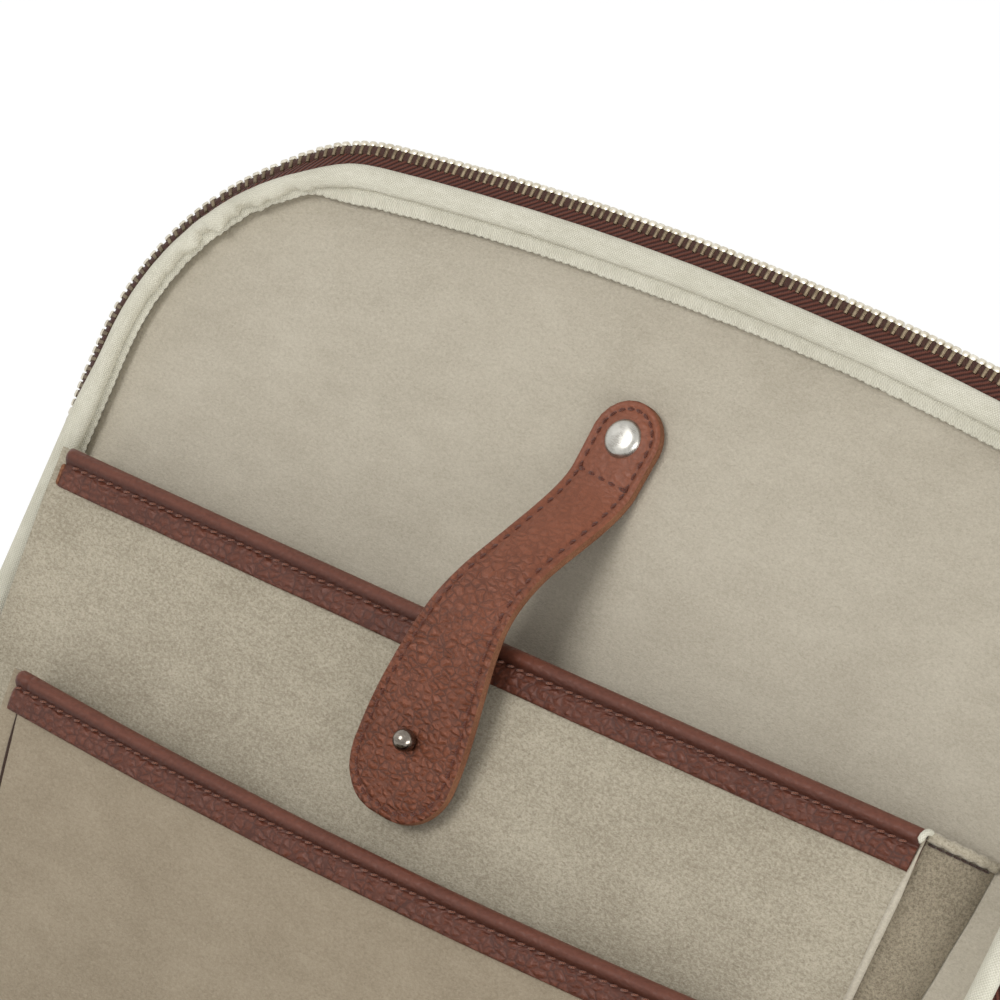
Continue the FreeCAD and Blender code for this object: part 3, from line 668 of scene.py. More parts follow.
lid_suede = carry(lid_lining(), "lid", "suede", "lid_lining")
base_suede = carry(base_lining(), "base", "suede", "base_lining")
print("linings:", len(lid_suede.data.vertices), "and", len(base_suede.data.vertices), "points")

# %% [markdown]
# ## Outer leather
# Outside, each half is one leather skin over board, turned over a rounded bottom edge. The skin is
# lofted from its middle outwards, with a shallow sewn groove near the rim, so light rolls over the
# edge as on real leather. Two rows of stitches follow: one round the panel and one under the zip.


# %% Leather shells
EDGE = 3.2              # radius of the rounded bottom edge
TOP = -4.1              # where the leather ends under the zip


def shell(name, place, low):
    rings = []
    for _, ring in disc(-11.5, low, 24):
        rings.append([(x, y, z + 0.12 * (1 + ripple(x, y, 30))) for x, y, z in ring])
    for out, rise in ((-10.2, 0.25), (-9.4, 0.75), (-9.0, 0.8), (-8.6, 0.75), (-7.8, 0.2), (-5.5, 0.0)):
        rings.append(rim.ring(out, low + rise))
    for angle in (math.radians(turn) for turn in range(0, 91, 15)):
        rings.append(rim.ring(-EDGE + EDGE * math.sin(angle), low + EDGE * (1 - math.cos(angle))))
    wall = TOP - 0.4 - low - EDGE
    rings += [rim.ring(0.0, low + EDGE + wall * step / 8) for step in range(1, 9)]
    inside = ((-0.25, TOP, 1.0), (-1.1, TOP, 1.0), (-1.1, low + 3.4, 1.0), (-3.4, low + 1.1, 1.0))
    rings += [rim.ring(*where) for where in inside + ((-3.4, low + 1.1, PINHOLE),)]
    return loft(name, rings, place, SHELL, crisp=60)


def rim_stitches(place, out, z, up, pitch=3.4):
    spots = []
    count = int(rim.length / pitch)
    for k in range(count):
        i = int(k * rim.count / count)
        ahead, side = rim.ahead[i], rim.out[i]
        rise = (side[0] * up[0], side[1] * up[0], up[1])
        spots.append((place, rim.at(i, out, z), (ahead[0], ahead[1], 0), rise))
    return spots


HALVES = (("lid", in_lid, -12.0), ("base", in_base, -80.0))
for body, place, low in HALVES:
    skin = carry(shell(body + "_skin", place, low), body, "leather", body + "_outer_leather")
    seams = rim_stitches(place, -9.0, low + 0.55, (0, -1)) + rim_stitches(place, 0.05, -6.4, (1, 0))
    carry(sew(body + "_skin_stitches", seams, THREAD), body, "leather")
    print(skin.name, len(skin.data.vertices), "points,", len(seams), "stitches")

# %% [markdown]
# ## Cotton binding
# A bias strip is rolled over the seam allowance: a full bright roll outside and a flat band inside it
# that ends in a pinked edge. Round the corners the strip has too much cloth, so it puckers. The roll
# is a lofted oval whose size wanders a little. The band is a second loft on finer steps, because its
# edge has a tooth every two millimetres.


# %% Binding
def corner_share(out):
    """1 in the middle of a round corner, 0 on the straight runs."""
    return min(1.0, (2.2 * abs(out[0] * out[1])) ** 2)


def step_up(value, low, high):
    share = min(1.0, max(0.0, (value - low) / (high - low)))
    return share * share * (3 - 2 * share)


def side_share(out):
    """0 along the front edge, 1 from the corners on, where the strip was sewn down narrower."""
    return step_up(abs(out[0]), 0.2, 0.5)


def binding_roll(name, place):
    rings = []
    for i in range(rim.count):
        out = rim.out[i]
        run = i * rim.step
        tight, aside = corner_share(out), side_share(out)
        round_it = aside * step_up(rim.spots[i][1], 150.0, 170.0)
        pucker = tight * (1.2 * ripple(run, 0, 4.2, 3.0) + 0.9 * ripple(run, 0, 2.2, 4.0))
        swell = 0.16 * ripple(run, 0, 34, 1.0) + 0.08 * ripple(run, 0, 9, 2.0)
        back = max(0.0, min(1.0, -out[1] * 2 - 0.6))
        outer = (2.0 - 1.4 * round_it) * (1 - back)
        inner = -3.5 + 0.4 * round_it + 1.5 * pucker + swell
        ring = []
        for c, s in ((math.cos(t), math.sin(t)) for t in turns(28)):
            wide = boxy(c, 0.85) * (outer - inner) / 2 + (outer + inner) / 2
            tall = boxy(s, 0.8) * (1.45 + 0.3 * swell) - 1.85
            slope = aside * 0.7 * max(0.0, -c) ** 1.5
            dent = 1.1 * pucker * max(0.0, -c) * max(0.0, s + 0.4)
            ring.append(rim.at(i, wide, tall - slope + dent))
        rings.append(ring)
    return loft(name, rings, place, COTTON, along=True)


def binding_band(name, place):
    rings = []
    for i in range(fine_rim.count):
        out = fine_rim.out[i]
        run = i * fine_rim.step
        tight, aside = corner_share(out), side_share(out)
        tooth = 0.3 * abs(math.sin(math.pi * run / 2.0)) + 0.16 * ripple(run, 0, 3.0, 6.0)
        pucker = tight * (0.8 * ripple(run, 0, 6.0, 5.0) + 0.4 * ripple(run, 0, 2.8, 7.0))
        inner = -6.3 + 2.7 * aside - tooth - 0.4 * ripple(run, 0, 45, 8.0) + pucker * 0.6 + 0.3 * tight
        lift = 0.2 * ripple(run, 0, 24, 9.0) + pucker * 0.5 + 0.2 * aside
        edge = -4.9 + lift
        half_way = inner * 0.5 - 1.1
        upper_side = ((-1.9, -3.0), (half_way + 0.7, -3.3 - 0.3 * aside), (half_way, -3.9 + lift * 0.6))
        pinked = ((inner + 0.25, edge), (inner, edge - 0.2), (inner + 0.3, edge - 0.5))
        under_side = ((half_way, -5.6), (half_way + 0.9, -6.6), (-1.5, -6.8), (-1.5, -3.6))
        rings.append([fine_rim.at(i, o, z) for o, z in upper_side + pinked + under_side])
    return loft(name, rings, place, COTTON, along=True)


for body, place, _ in HALVES:
    roll = carry(binding_roll(body + "_bias_roll", place), body, "cotton", body + "_binding")
    band = carry(binding_band(body + "_bias_band", place), body, "cotton", body + "_binding")
    print(roll.name, band.name, len(band.data.vertices), "points")

# %% [markdown]
# ## Zip: tape and teeth
# The tape leaves the seam under the roll and turns down, a little along the front and further at the
# sides of the lid. Its edge is a corded bead. The teeth sit on that bead. Each tooth is a small
# casting: legs that grip the tape and a wider head. One tooth is shaped and then set down at every
# step along the tape.

# %% Tape
TAPE_TOP, TAPE_WIDTH, TAPE_STEP, TAPE_THICK = -3.3, 5.0, 0.9, 0.62
ZIP_FROM = 30.0         # the zip starts and ends this far from the hinge
FRONT_FALL = 8.0        # degrees that the tape turns down along the front
SIDE_FALL = {"lid": 22.0, "base": FRONT_FALL}
UP = Vector((0, 0, 1))


def front_half(i, which):
    """1 on the front half of the edge, 0 from the middle of the sides back to the hinge."""
    return step_up(which.spots[i][1], 60.0, 105.0)


def tape_width(i, body, which):
    """Round the front corners of the lid more of the tape was taken into the seam."""
    if body == "base":
        return TAPE_WIDTH
    return TAPE_WIDTH - 1.9 * step_up(abs(which.out[i][0]), 0.3, 0.7) * front_half(i, which)


def droop_frame(i, body, which):
    """Turn point, reach and lift of the tape at one step of the rim."""
    out = which.out[i]
    fall = FRONT_FALL + (SIDE_FALL[body] - FRONT_FALL) * step_up(abs(out[0]), 0.12, 0.6)
    if body == "lid":
        fall += 22.0 * (1 - step_up(which.spots[i][1], 136.0, 162.0)) - 8.0 * (1 - front_half(i, which))
    angle = math.radians(fall)
    side = Vector((out[0], out[1], 0))
    reach = side * math.cos(angle) - UP * math.sin(angle)
    lift = side * math.sin(angle) + UP * math.cos(angle)
    return Vector(which.at(i, TAPE_STEP, TAPE_TOP)), reach, lift


def zip_steps(which):
    return [i for i in range(which.count) if which.spots[i][1] > ZIP_FROM]


def tape(body, place):
    rings = []
    for i in zip_steps(rim):
        turn, reach, lift = droop_frame(i, body, rim)
        wander = lift * (0.1 * ripple(i * rim.step, 0, 16, 2.0))
        inside = Vector(rim.at(i, -0.8, TAPE_TOP))
        soft = (inside + turn) / 2 + (turn - inside) * 0.2
        top = [inside, soft, turn + reach * 0.5, turn + reach * 1.2 + wander, turn + reach * 2.0 + wander]
        wide = tape_width(i, body, rim)
        for past, up in ((-0.7, 0.0), (-0.2, 0.26), (0.9, 0.3), (1.35, 0.0)):
            top.append(turn + reach * (wide + past) + lift * up)
        under = [p - lift * TAPE_THICK for p in reversed(top[2:])]
        under += [p - UP * TAPE_THICK for p in (soft, inside)]
        rings.append([tuple(p) for p in top + under])
    # The bead's faces get the darker yarn, painted shade between the teeth.
    bead_painted_shade_faces = lambda i, j: 1 if 5 <= j <= 10 else 0
    return loft(body + "_tape", rings, place, [TWILL, BEAD_PAINTED_SHADE], paint=bead_painted_shade_faces, crisp=50)


print("tape runs past", len(zip_steps(rim)), "of", rim.count, "steps")

# %% Teeth
TOOTH_PITCH, TOOTH_SIDES = 2.1, 12
LEGS = 4                # rows of a tooth that belong to its legs


def tooth_template():
    """Rings of a tooth, from the ends of its legs to its head: reach, half width, half height."""
    legs = ((-1.25, 0.34, 0.6), (-1.1, 0.46, 0.88), (0.2, 0.48, 0.94), (1.0, 0.46, 0.9))
    head = ((1.15, 0.62, 0.84), (1.35, 0.88, 0.85), (2.1, 0.9, 0.8), (2.35, 0.7, 0.6), (2.42, 0.4, 0.3))
    angles = turns(TOOTH_SIDES) + math.pi / TOOTH_SIDES
    corners = [(boxy(math.cos(t), 0.5), boxy(math.sin(t), 0.5)) for t in angles]
    return [[(reach, c * wide, s * tall) for c, s in corners] for reach, wide, tall in legs + head]


def teeth(body, place):
    work = bmesh.new()
    rows = tooth_template()
    steps = zip_steps(fine_rim)
    count = int(len(steps) * fine_rim.step / TOOTH_PITCH)
    for n in range(2, count - 2):
        i = steps[int(n * (len(steps) - 1) / (count - 1))]
        turn, reach, lift = droop_frame(i, body, fine_rim)
        heart = turn + reach * (tape_width(i, body, fine_rim) + 0.05) - lift * 0.3
        across = lift.cross(reach)
        spin = 0.06 * ripple(n, 0, 1.7, 3.0)
        rings = []
        for ring in rows:
            spots = [heart + reach * r + across * (w + spin * r) + lift * t for r, w, t in ring]
            rings.append([place(*spot) for spot in spots])
        # Leg rows get the darker metal, painted shade between the teeth.
        join_rings(work, rings, paint=lambda row, k: 1 if row < LEGS else 0)
    return as_piece(body + "_teeth", work, [TEETH, LEG_METAL_PAINTED_SHADE], crisp=40), count - 4


for body, place, _ in HALVES:
    carry(tape(body, place), body, "zip_tape", body + "_zip_tape")
    chain, count = teeth(body, place)
    carry(chain, body, "metal", body + "_zip_teeth")
    print(body, "zip has", count, "teeth")

# %% [markdown]
# ## Pocket fronts
# Each pocket front is a suede panel that leans out from its foot to its mouth on a slight arc. A flat
# quad would look like card, so the panel is lofted across its width with a gentle swell, and its side
# edges are turned in and a little thicker. Both pockets use the same class, which knows the arc.


# %% Pockets
POCKET_FOOT = 14.0      # both pockets are sewn in this far from the hinge
POCKET_MIDDLE = -5.9    # and sit a little left of the middle


class Pocket:
    """One pocket front, as an arc from its mouth down to its foot."""

    def __init__(self, name, suede, mouth, rise, mouth_half, foot_half, crown, foot_z, sag):
        self.name, self.suede, self.sag, self.left = name, suede, sag, 1.0
        self.mouth, self.mouth_half, self.foot_half = mouth, mouth_half, foot_half
        deep, tall = mouth - POCKET_FOOT, FLOOR + rise - foot_z
        chord = math.hypot(deep, tall)
        self.radius = chord ** 2 / (8 * crown) + crown / 2
        drop = self.radius - crown
        self.cy = (POCKET_FOOT + mouth) / 2 + tall / chord * drop
        self.cz = foot_z + tall / 2 - deep / chord * drop
        self.start = math.atan2(FLOOR + rise - self.cz, mouth - self.cy)
        self.length = self.radius * (math.atan2(foot_z - self.cz, POCKET_FOOT - self.cy) - self.start)

    def half(self, y):
        share = (y - POCKET_FOOT) / (self.mouth - POCKET_FOOT)
        return self.foot_half + (self.mouth_half - self.foot_half) * share

    def at(self, side, run, off):
        """side from -1 to 1 across, run down from the mouth, off out from the middle of the panel."""
        droop = self.sag * (1 - side ** 2) * max(0.0, 1 - run / self.length)
        angle = self.start + (run + droop) / self.radius
        y = self.cy + (self.radius + off) * math.cos(angle)
        return POCKET_MIDDLE + side * self.half(y), y, self.cz + (self.radius + off) * math.sin(angle)


def panel(pocket):
    thick, margin = 0.66, 0.3
    rings = []
    for k in range(101):
        side = -pocket.left + (1 + pocket.left) * k / 100
        x = side * pocket.mouth_half
        hem = 0.3 * min(1.0, max(0.0, 1 - (1 - abs(side)) * pocket.mouth_half / 3.2)) ** 0.5
        front = np.linspace(margin, pocket.length - margin, 51)
        ring = []
        for n, run in enumerate(front):
            swell = math.sin(math.pi * n / 50) * max(0.0, 1 - side ** 4)
            off = thick + hem + swell * (0.55 * ripple(x, run, 46, 1.0) + 0.14 * ripple(x, run, 15, 2.0))
            ring.append(pocket.at(side, run, off))
        ring += [pocket.at(side, run, -thick) for run in front[::-5]]
        rings.append(ring)
    return loft(pocket.name + "_suede", rings, in_lid, pocket.suede, plan_uv(rings), crisp=60)


upper = Pocket("upper_pocket", POCKET, mouth=144.0, rise=13.5, mouth_half=117.7, foot_half=110.0,
               crown=1.2, foot_z=FLOOR + 0.8, sag=0.4)
lower = Pocket("lower_pocket", LOWER_POCKET_PAINTED_SHADE, mouth=95.5, rise=21.0, mouth_half=99.8, foot_half=97.8,
               crown=2.4, foot_z=FLOOR + 2.35, sag=2.6)
upper.left = 1.022      # left of the leather, the upper panel goes on for a little
for pocket in (upper, lower):
    front = carry(panel(pocket), "lid", "suede", pocket.name + "_front")
    print(pocket.name, "front is", round(pocket.length, 1), "mm deep")

# %% [markdown]
# ## Pocket mouths
# A leather strip is folded over each mouth: a fat roll on top, a stitched valley and a flat flap
# below with a cut edge. The section is written once, in distances down the panel and out from it, and
# carried across the pocket with small wanderings, so that the line isn't ruled.


# %% Trims and their stitches
def mouth_trim(pocket, turn):
    """turn is how far the strip runs on round the pocket's end, in millimetres."""
    back = ((8.3, -0.85), (8.3, -1.6), (5.0, -1.85), (2.0, -1.95), (1.0, -1.8), (0.3, -1.35), (-0.1, -0.6))
    roll = ((-0.2, 0.3), (0.0, 1.25), (0.6, 2.05), (1.4, 2.45), (2.2, 2.4), (2.9, 2.0), (3.35, 1.5))
    valley = ((3.6, 1.3), (3.9, 1.45), (4.35, 1.8), (5.2, 2.0))
    flap = ((6.4, 2.05), (7.6, 2.0), (8.45, 1.9), (8.75, 1.7), (8.85, 1.4), (8.8, 0.85))
    inside = ((4.0, 0.75), (1.2, 0.75), (0.7, 0.0), (1.2, -0.75))
    section = back + roll + valley + flap + inside
    half = pocket.mouth_half - turn
    reach = np.linspace(-half - turn, half + turn, 281)
    rings = []
    for x in reach:
        side = float(np.clip(x, -half, half)) / pocket.mouth_half
        past = max(0.0, abs(x) - half)
        angle = past / max(turn, 0.1) * math.radians(75)
        aside = math.copysign(turn * 0.6 * math.sin(angle), x)
        sink = turn * 0.8 * (1 - math.cos(angle))
        end = min(1.0, (half + turn - abs(x)) / 1.2)
        plump = 0.78 + 0.22 * end ** 0.5
        sag = 0.22 * ripple(x, 0, 38, 1.0)
        notch = 0.5 * math.exp(-((half - 2.5 - abs(x)) / 0.5) ** 2) if turn else 0.0
        ring = []
        for run, off in section:
            crease = 0.1 * ripple(x + run * 1.4, run * 0.5, 2.6, 2.0) if off > 1.0 else 0.0
            on_roll = run < 3 and off > 0
            fat = off * plump + crease + (0.12 * ripple(x, 0, 12, 3.0) - notch if on_roll else 0.0)
            spot = pocket.at(side, run + (sag if run > 3.9 else 0.4 * sag), fat)
            ring.append((spot[0] + aside, spot[1], spot[2] - sink))
        rings.append(ring)
    legs = [math.dist(a, b) for a, b in zip(section, section[1:] + section[:1])]
    round_it = np.concatenate([[0], np.cumsum(legs)])
    last = len(reach) - 1
    flat = lambda i, j: (reach[min(i, last)] / 1000, round_it[j] / 1000)
    return loft(pocket.name + "_mouth", rings, in_lid, TRIM, flat, crisp=70)


def mouth_stitches(pocket):
    spots = []
    pitch, high = 2.65, 1.82
    count = int(2 * pocket.mouth_half / pitch)
    for k in range(1, count):
        side = -0.993 + 1.986 * k / count
        x = side * pocket.mouth_half
        run = 3.65 + 0.12 * ripple(x, 0, 9, 5.0)
        here = Vector(pocket.at(side, run, high))
        up = Vector(pocket.at(side, run, high + 1)) - here
        along = Vector((1, 0, 0)) + (here - Vector(pocket.at(side, run + 1, high))) * 0.25
        spots.append((in_lid, here, along, up))
    return sew(pocket.name + "_mouth_stitches", spots, THREAD, long=1.9, thick=0.62, sink=0.55)


for pocket, turn in ((upper, 0.0), (lower, 3.2)):
    carry(mouth_trim(pocket, turn), "lid", "leather", pocket.name + "_trim")
    seam = carry(mouth_stitches(pocket), "lid", "leather")
    print(seam.name, len(seam.data.vertices), "points")

# %% [markdown]
# ## Gussets
# At both sides a pocket is closed by a suede fold that runs down to what lies behind it. It is a
# bellows: bowed, with a rolled hem at the mouth. A lofted strip from foot to mouth gives the bow and
# the hem in one piece.


# %% Side folds
def fold_line(pocket, side, ground, flare, run):
    """Points of a fold from the pocket's edge down to the ground, at one distance below the mouth."""
    top = pocket.at(side, run, -0.9)
    foot_z = ground(top[1]) + 0.25
    deep = top[2] - foot_z
    line = []
    for n in range(13):
        drop = n / 12
        bow = 0.9 * math.sin(math.pi * drop) * min(1.0, deep / 8) + 0.3 * ripple(top[1], n * 0.7, 9, 4.0)
        x = top[0] - side * 0.6 + side * (flare * min(1.0, deep / 12) * drop + bow)
        line.append((x, top[1], foot_z + deep * (1 - drop)))
    return line


def fold(pocket, side, ground, flare, word):
    rings = []
    for k in range(41):
        line = fold_line(pocket, side, ground, flare, pocket.length - 2.0 - (pocket.length - 2.8) * k / 40)
        outer = [(x + side * 0.42, y, z) for x, y, z in line]
        inner = [(x - side * 0.42, y, z) for x, y, z in line]
        rings.append(outer + inner[::-1])
    return loft(pocket.name + "_fold_" + word, rings, in_lid, FOLD_PAINTED_SHADE, crisp=60)


def tube(name, path, fat, material, across):
    """A round roll along a path of flat points. across is any direction that the path never takes."""
    line = [Vector(p) for p in path]
    rings = []
    for k, spot in enumerate(line):
        ahead = (line[min(k + 1, len(line) - 1)] - line[max(k - 1, 0)]).normalized()
        side = ahead.cross(Vector(across)).normalized()
        up = side.cross(ahead)
        size = fat(k / (len(line) - 1))
        rings.append([tuple(spot + (side * math.cos(t) + up * math.sin(t)) * size) for t in turns(12)])
    return loft(name, rings, in_lid, material)


print("folds have", len(fold_line(upper, 1, lambda y: FLOOR, 1.0, 5.0)), "points from edge to ground")


# %% Hems
def hem(pocket, side, ground, flare, word):
    """The rolled edge of a fold, drawn in by overcast stitches, and a row of dark stitches below it, which
    also stands for the shadow line under the hem: partly painted shade.
    """
    line = fold_line(pocket, side, ground, flare, 1.6)
    count = max(24, int(math.dist(line[0], line[-1]) * 3))
    share = np.linspace(0, len(line) - 1, count)
    axes = [np.interp(share, range(len(line)), axis) for axis in zip(*line)]
    path = [(x + side * 0.5, y + 0.8, z + 0.3) for x, y, z in zip(*axes)]
    long = math.dist(path[0], path[-1])
    fat = lambda t: 0.95 + 0.3 * abs(math.sin(math.pi * t * long / 3.4))
    carry(tube(pocket.name + "_hem_" + word, path, fat, POCKET, (0, 1, 0)), "lid", "suede")
    pitch = 1.7
    spots = []
    for k in range(1, int(long / pitch)):
        here = Vector(path[int(k * pitch / long * (count - 1))]) + Vector((side * 0.35, -1.55, 0.35))
        spots.append((in_lid, here, Vector(path[-1]) - Vector(path[0]), (side * 0.7, 0, 0.7)))
    # Dark stitches below the hem: thread, and partly painted shade under the roll.
    thread = sew(pocket.name + "_hem_stitches_" + word, spots, SEAM, long=1.9, thick=0.6, sink=0.3)
    carry(thread, "lid", "suede")


def run_at(y, off):
    """How far below the upper pocket's mouth its panel reaches a given y, found in a few steps."""
    run = upper.mouth - y
    for _ in range(6):
        run += upper.at(0, run, off)[1] - y
    return run


def on_upper(y):
    return upper.at(0, run_at(y, 0.9), 0.9)[2]


FLARE = {"left": 2.2, "right": 10.2}
for side, word in ((-1, "left"), (1, "right")):
    on_floor = lambda y: FLOOR
    carry(fold(upper, side, on_floor, FLARE[word], word), "lid", "suede", "upper_pocket_gusset_" + word)
    carry(fold(lower, side, on_upper, 1.2, word), "lid", "suede", "lower_pocket_gusset_" + word)
    hem(upper, side, on_floor, FLARE[word], word)
    print("folds on the", word)

# %% [markdown]
# ## Pocket edges
# Down each side the suede is turned in, which shows as a pale roll beside the fold. The right end of the
# upper trim is bound in cream cotton, the left end is a raw cut, and the lower pocket is closed by a dark
# seam, a dark tube that also stands for the shade in the gap at the pocket's edge: partly painted shade.
# Each is a thin tube along a path on the pocket, so it bends with the panel.


# %% Edge rolls, end binding and seams
def edge_path(pocket, side, start, off, out):
    runs = np.linspace(start, pocket.length - 2.0, 60)
    path = [pocket.at(side, run, off) for run in runs]
    return [(x + math.copysign(out, side), y, z) for x, y, z in path]


def seam_path(pocket, side):
    """The closing seam starts a little inside the edge and slants further in towards the foot."""
    runs = np.linspace(8.9, pocket.length - 2.0, 60)
    return [pocket.at(side * (0.962 - 0.09 * run / pocket.length), run, 0.75) for run in runs]


def blunt(size):
    return lambda t: size * min(1.0, 0.3 + 8 * min(t, 1 - t))


def lid_tube(name, path, size, material, slot):
    return carry(tube(name, path, blunt(size), material, (1, 0, 0)), "lid", slot)


for side, word in ((-1, "left"), (1, "right")):
    start, far, fat, skin = (0.5, -upper.left, 0.6, POCKET) if side < 0 else (3.2, 1.0, 0.85, LINING)
    lid_tube("upper_pocket_edge_" + word, edge_path(upper, far, start, 0.35, 0.15), fat, skin, "suede")
    # A dark seam tube, partly painted shade of the gap at the lower pocket's edge.
    lid_tube("lower_pocket_seam_" + word, seam_path(lower, side), 0.34, SEAM, "suede")

back_of_roll = [(1.6, -1.8), (0.9, -1.6), (0.4, -1.1), (0.1, -0.4)]
front_of_roll = [(0.1, 0.5), (0.4, 1.3), (1.0, 1.9), (1.9, 2.1), (2.7, 1.8)]
path = [upper.at(1, run, off) for run, off in back_of_roll + front_of_roll]
lid_tube("upper_trim_end_binding", [(x + 0.35, y, z) for x, y, z in path], 0.7, COTTON, "cotton")
path = [upper.at(-1, run, 1.35) for run in np.linspace(3.7, 8.6, 20)]
lid_tube("upper_trim_cut_end", [(x - 0.1, y, z) for x, y, z in path], 0.55, RAW_EDGE, "leather")
print("pocket edges done")

# %% [markdown]
# ## Strap
# Two layers of leather are stitched together all round, riveted to the lid at the narrow end and
# buttoned over the stud at the wide end. Between them it humps over the upper pocket's mouth. The
# plan is a taper with a round head and a wide rounded tail. Every point knows its distance to the
# edge, which rounds the rim and presses the sewn groove.

# %% The strap's plan and rise
HEAD, WAIST, TAIL = 8.6, 8.1, 13.8      # half widths
CORNER, REACH, THICK = 12.0, 92.9, 2.85
WAIST_DOWN, TAIL_DOWN = 30.0, 78.0      # where the taper starts and ends, below the rivet
CROSS_SEAM, SEAM_INSET = 9.5, 1.9
STITCH_Y, BEND_Y, MOUTH_Y = RIVET[1] - CROSS_SEAM, RIVET[1] - 12.0, upper.mouth
HUMP = 20.1                             # height of the strap over the pocket's mouth
SKEW = math.radians(4.6)


def strap_half(down):
    if down < 0:
        return math.sqrt(max(HEAD ** 2 - down ** 2, 0.0))
    wide = HEAD + (WAIST - HEAD) * min(down / WAIST_DOWN, 1.0)
    wide += (TAIL - WAIST) * step_up(down, WAIST_DOWN, TAIL_DOWN)
    if down > REACH - CORNER:
        wide += math.sqrt(max(CORNER ** 2 - (down - REACH + CORNER) ** 2, 0.0)) - CORNER
    return wide


def strap_rise(y):
    if y > MOUTH_Y:
        share = max(0.0, (STITCH_Y - y) / (STITCH_Y - MOUTH_Y)) ** 0.9
        return 0.3 + (HUMP - 0.3) * step_up(share, 0.0, 1.0)
    return HUMP - 6.6 * step_up(MOUTH_Y - y, 0.0, MOUTH_Y - RIVET[1] + REACH)


def strap_at(x, down, off):
    """A point of the strap: across, down from the rivet, and up from its underside."""
    y = RIVET[1] - down
    slope = (strap_rise(y + 0.05) - strap_rise(y - 0.05)) / 0.1
    size = math.hypot(1, slope)
    y, z = y - off * slope / size, FLOOR + strap_rise(y) + off / size
    below = RIVET[1] - y
    c, s = math.cos(SKEW), math.sin(SKEW)
    return RIVET[0] + x * c - below * s, RIVET[1] - x * s - below * c, z


def strap_outline(inset, count):
    head = -HEAD * np.cos(np.linspace(0, math.pi / 2, 60))
    tail = REACH - CORNER + CORNER * np.sin(np.linspace(0.02, math.pi / 2, 60))
    downs = np.concatenate([head, np.linspace(0.2, REACH - CORNER, 160), tail])
    right = [(strap_half(d), d) for d in downs]
    loop = np.array(right + [(-w, d) for w, d in reversed(right)])
    steps, length = even_steps(loop, count)
    ahead, out = headings(steps, (2,), np.array((0, 40)))
    return steps - out * inset, ahead, length


strap_edge, _, strap_round = strap_outline(0.0, 900)
print("strap is", round(strap_round, 1), "mm round")


# %% Strap mesh
def top_of_strap(x, down):
    gap = float(np.min(np.hypot(strap_edge[:, 0] - x, strap_edge[:, 1] - down)))
    curve = 0.75
    rounding = curve - math.sqrt(max(curve ** 2 - max(curve - gap, 0.0) ** 2, 0.0))
    groove = 0.42 * math.exp(-((gap - SEAM_INSET) / 0.6) ** 2)
    cross = 0.3 * math.exp(-((down - CROSS_SEAM) / 0.6) ** 2) if gap > 1.4 else 0.0
    puff = 0.3 * min(1.0, max(gap - SEAM_INSET, 0.0) / 4.0)
    return THICK - 0.1 - rounding - groove - cross + puff + 0.05 * ripple(x, down, 6.0)


def strap_mesh():
    head = [-HEAD * math.cos(t) for t in np.linspace(0.06, math.pi / 2, 16)]
    tail = [REACH - CORNER + CORNER * math.sin(t) for t in np.linspace(0, math.pi / 2 - 0.06, 18)]
    downs = head + list(np.linspace(0.8, REACH - CORNER - 0.8, 104)) + tail
    across = [math.sin(t) for t in np.linspace(-math.pi / 2, math.pi / 2, 41)]
    rings, layout = [], []
    for down in downs:
        wide = strap_half(down)
        ring = [(u * wide, top_of_strap(u * wide, down)) for u in across]
        side = ((wide, 1.75), (wide - 0.12, 1.43), (wide, 1.1), (wide - 0.1, 0.35), (wide - 0.5, 0.05))
        ring += list(side)
        ring += [(u * (wide - 0.8), 0.0) for u in (0.7, 0.3, -0.3, -0.7)]
        ring += [(-x, off) for x, off in reversed(side)]
        rings.append([strap_at(x, down, off) for x, off in ring])
        layout.append([(x / 1000, down / 1000) for x, off in ring])
    last = len(layout[0])
    flat = lambda i, j: layout[min(i, len(layout) - 1)][j % last]
    top = len(across) - 1
    paint = lambda i, j: 0 if 1 <= j < top - 1 else (2 if top + 5 <= j < top + 10 else 1)
    return loft("strap_tab", rings, in_lid, [STRAP, RAW_EDGE, TRIM], flat, paint=paint, crisp=60)


def settle(piece):
    """Replaces a piece's mesh by what its modifiers make of it."""
    shape = bpy.data.meshes.new_from_object(piece.evaluated_get(bpy.context.evaluated_depsgraph_get()))
    piece.modifiers.clear()
    piece.data = shape


def cut_hole(piece):
    """The stud's neck passes through a small hole that the ball hides."""
    low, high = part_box("stud_post")
    x, y, z = flat_lid((low + high) / 2)
    size = 1.9
    circle = [(x + size * math.cos(t), y + size * math.sin(t)) for t in turns(24)]
    rings = [[(*p, z + rise) for p in circle] for rise in (-4.0, 12.0)]
    punch = loft("stud_punch", rings, in_lid, RAW_EDGE)
    cut = piece.modifiers.new("hole", "BOOLEAN")
    cut.object, cut.operation, cut.solver = punch, "DIFFERENCE", "EXACT"
    settle(piece)
    bpy.data.objects.remove(punch)


strap = strap_mesh()
cut_hole(strap)
print(strap.name, len(strap.data.vertices), "points")


# %% Stitches of the strap, and its bend
def strap_stitches():
    spots = []
    pitch = 2.75
    line, ahead, _ = strap_outline(SEAM_INSET, int(strap_round / pitch))
    seam = [(x, d, a) for (x, d), a in zip(line, ahead)]
    seam += [(x, CROSS_SEAM, (1.0, 0.0)) for x in np.linspace(-5.6, 5.6, 5)]
    for x, down, (ax, ad) in seam:
        high = top_of_strap(x, down) + 0.12
        here = Vector(strap_at(x, down, high))
        along = Vector(strap_at(x + ax * 0.5, down + ad * 0.5, high)) - here
        up = Vector(strap_at(x, down, high + 1)) - here
        spots.append((in_lid, here, along, up))
    return sew("strap_stitches", spots, STRAP_THREAD, long=2.15, thick=0.86, sink=0.5)


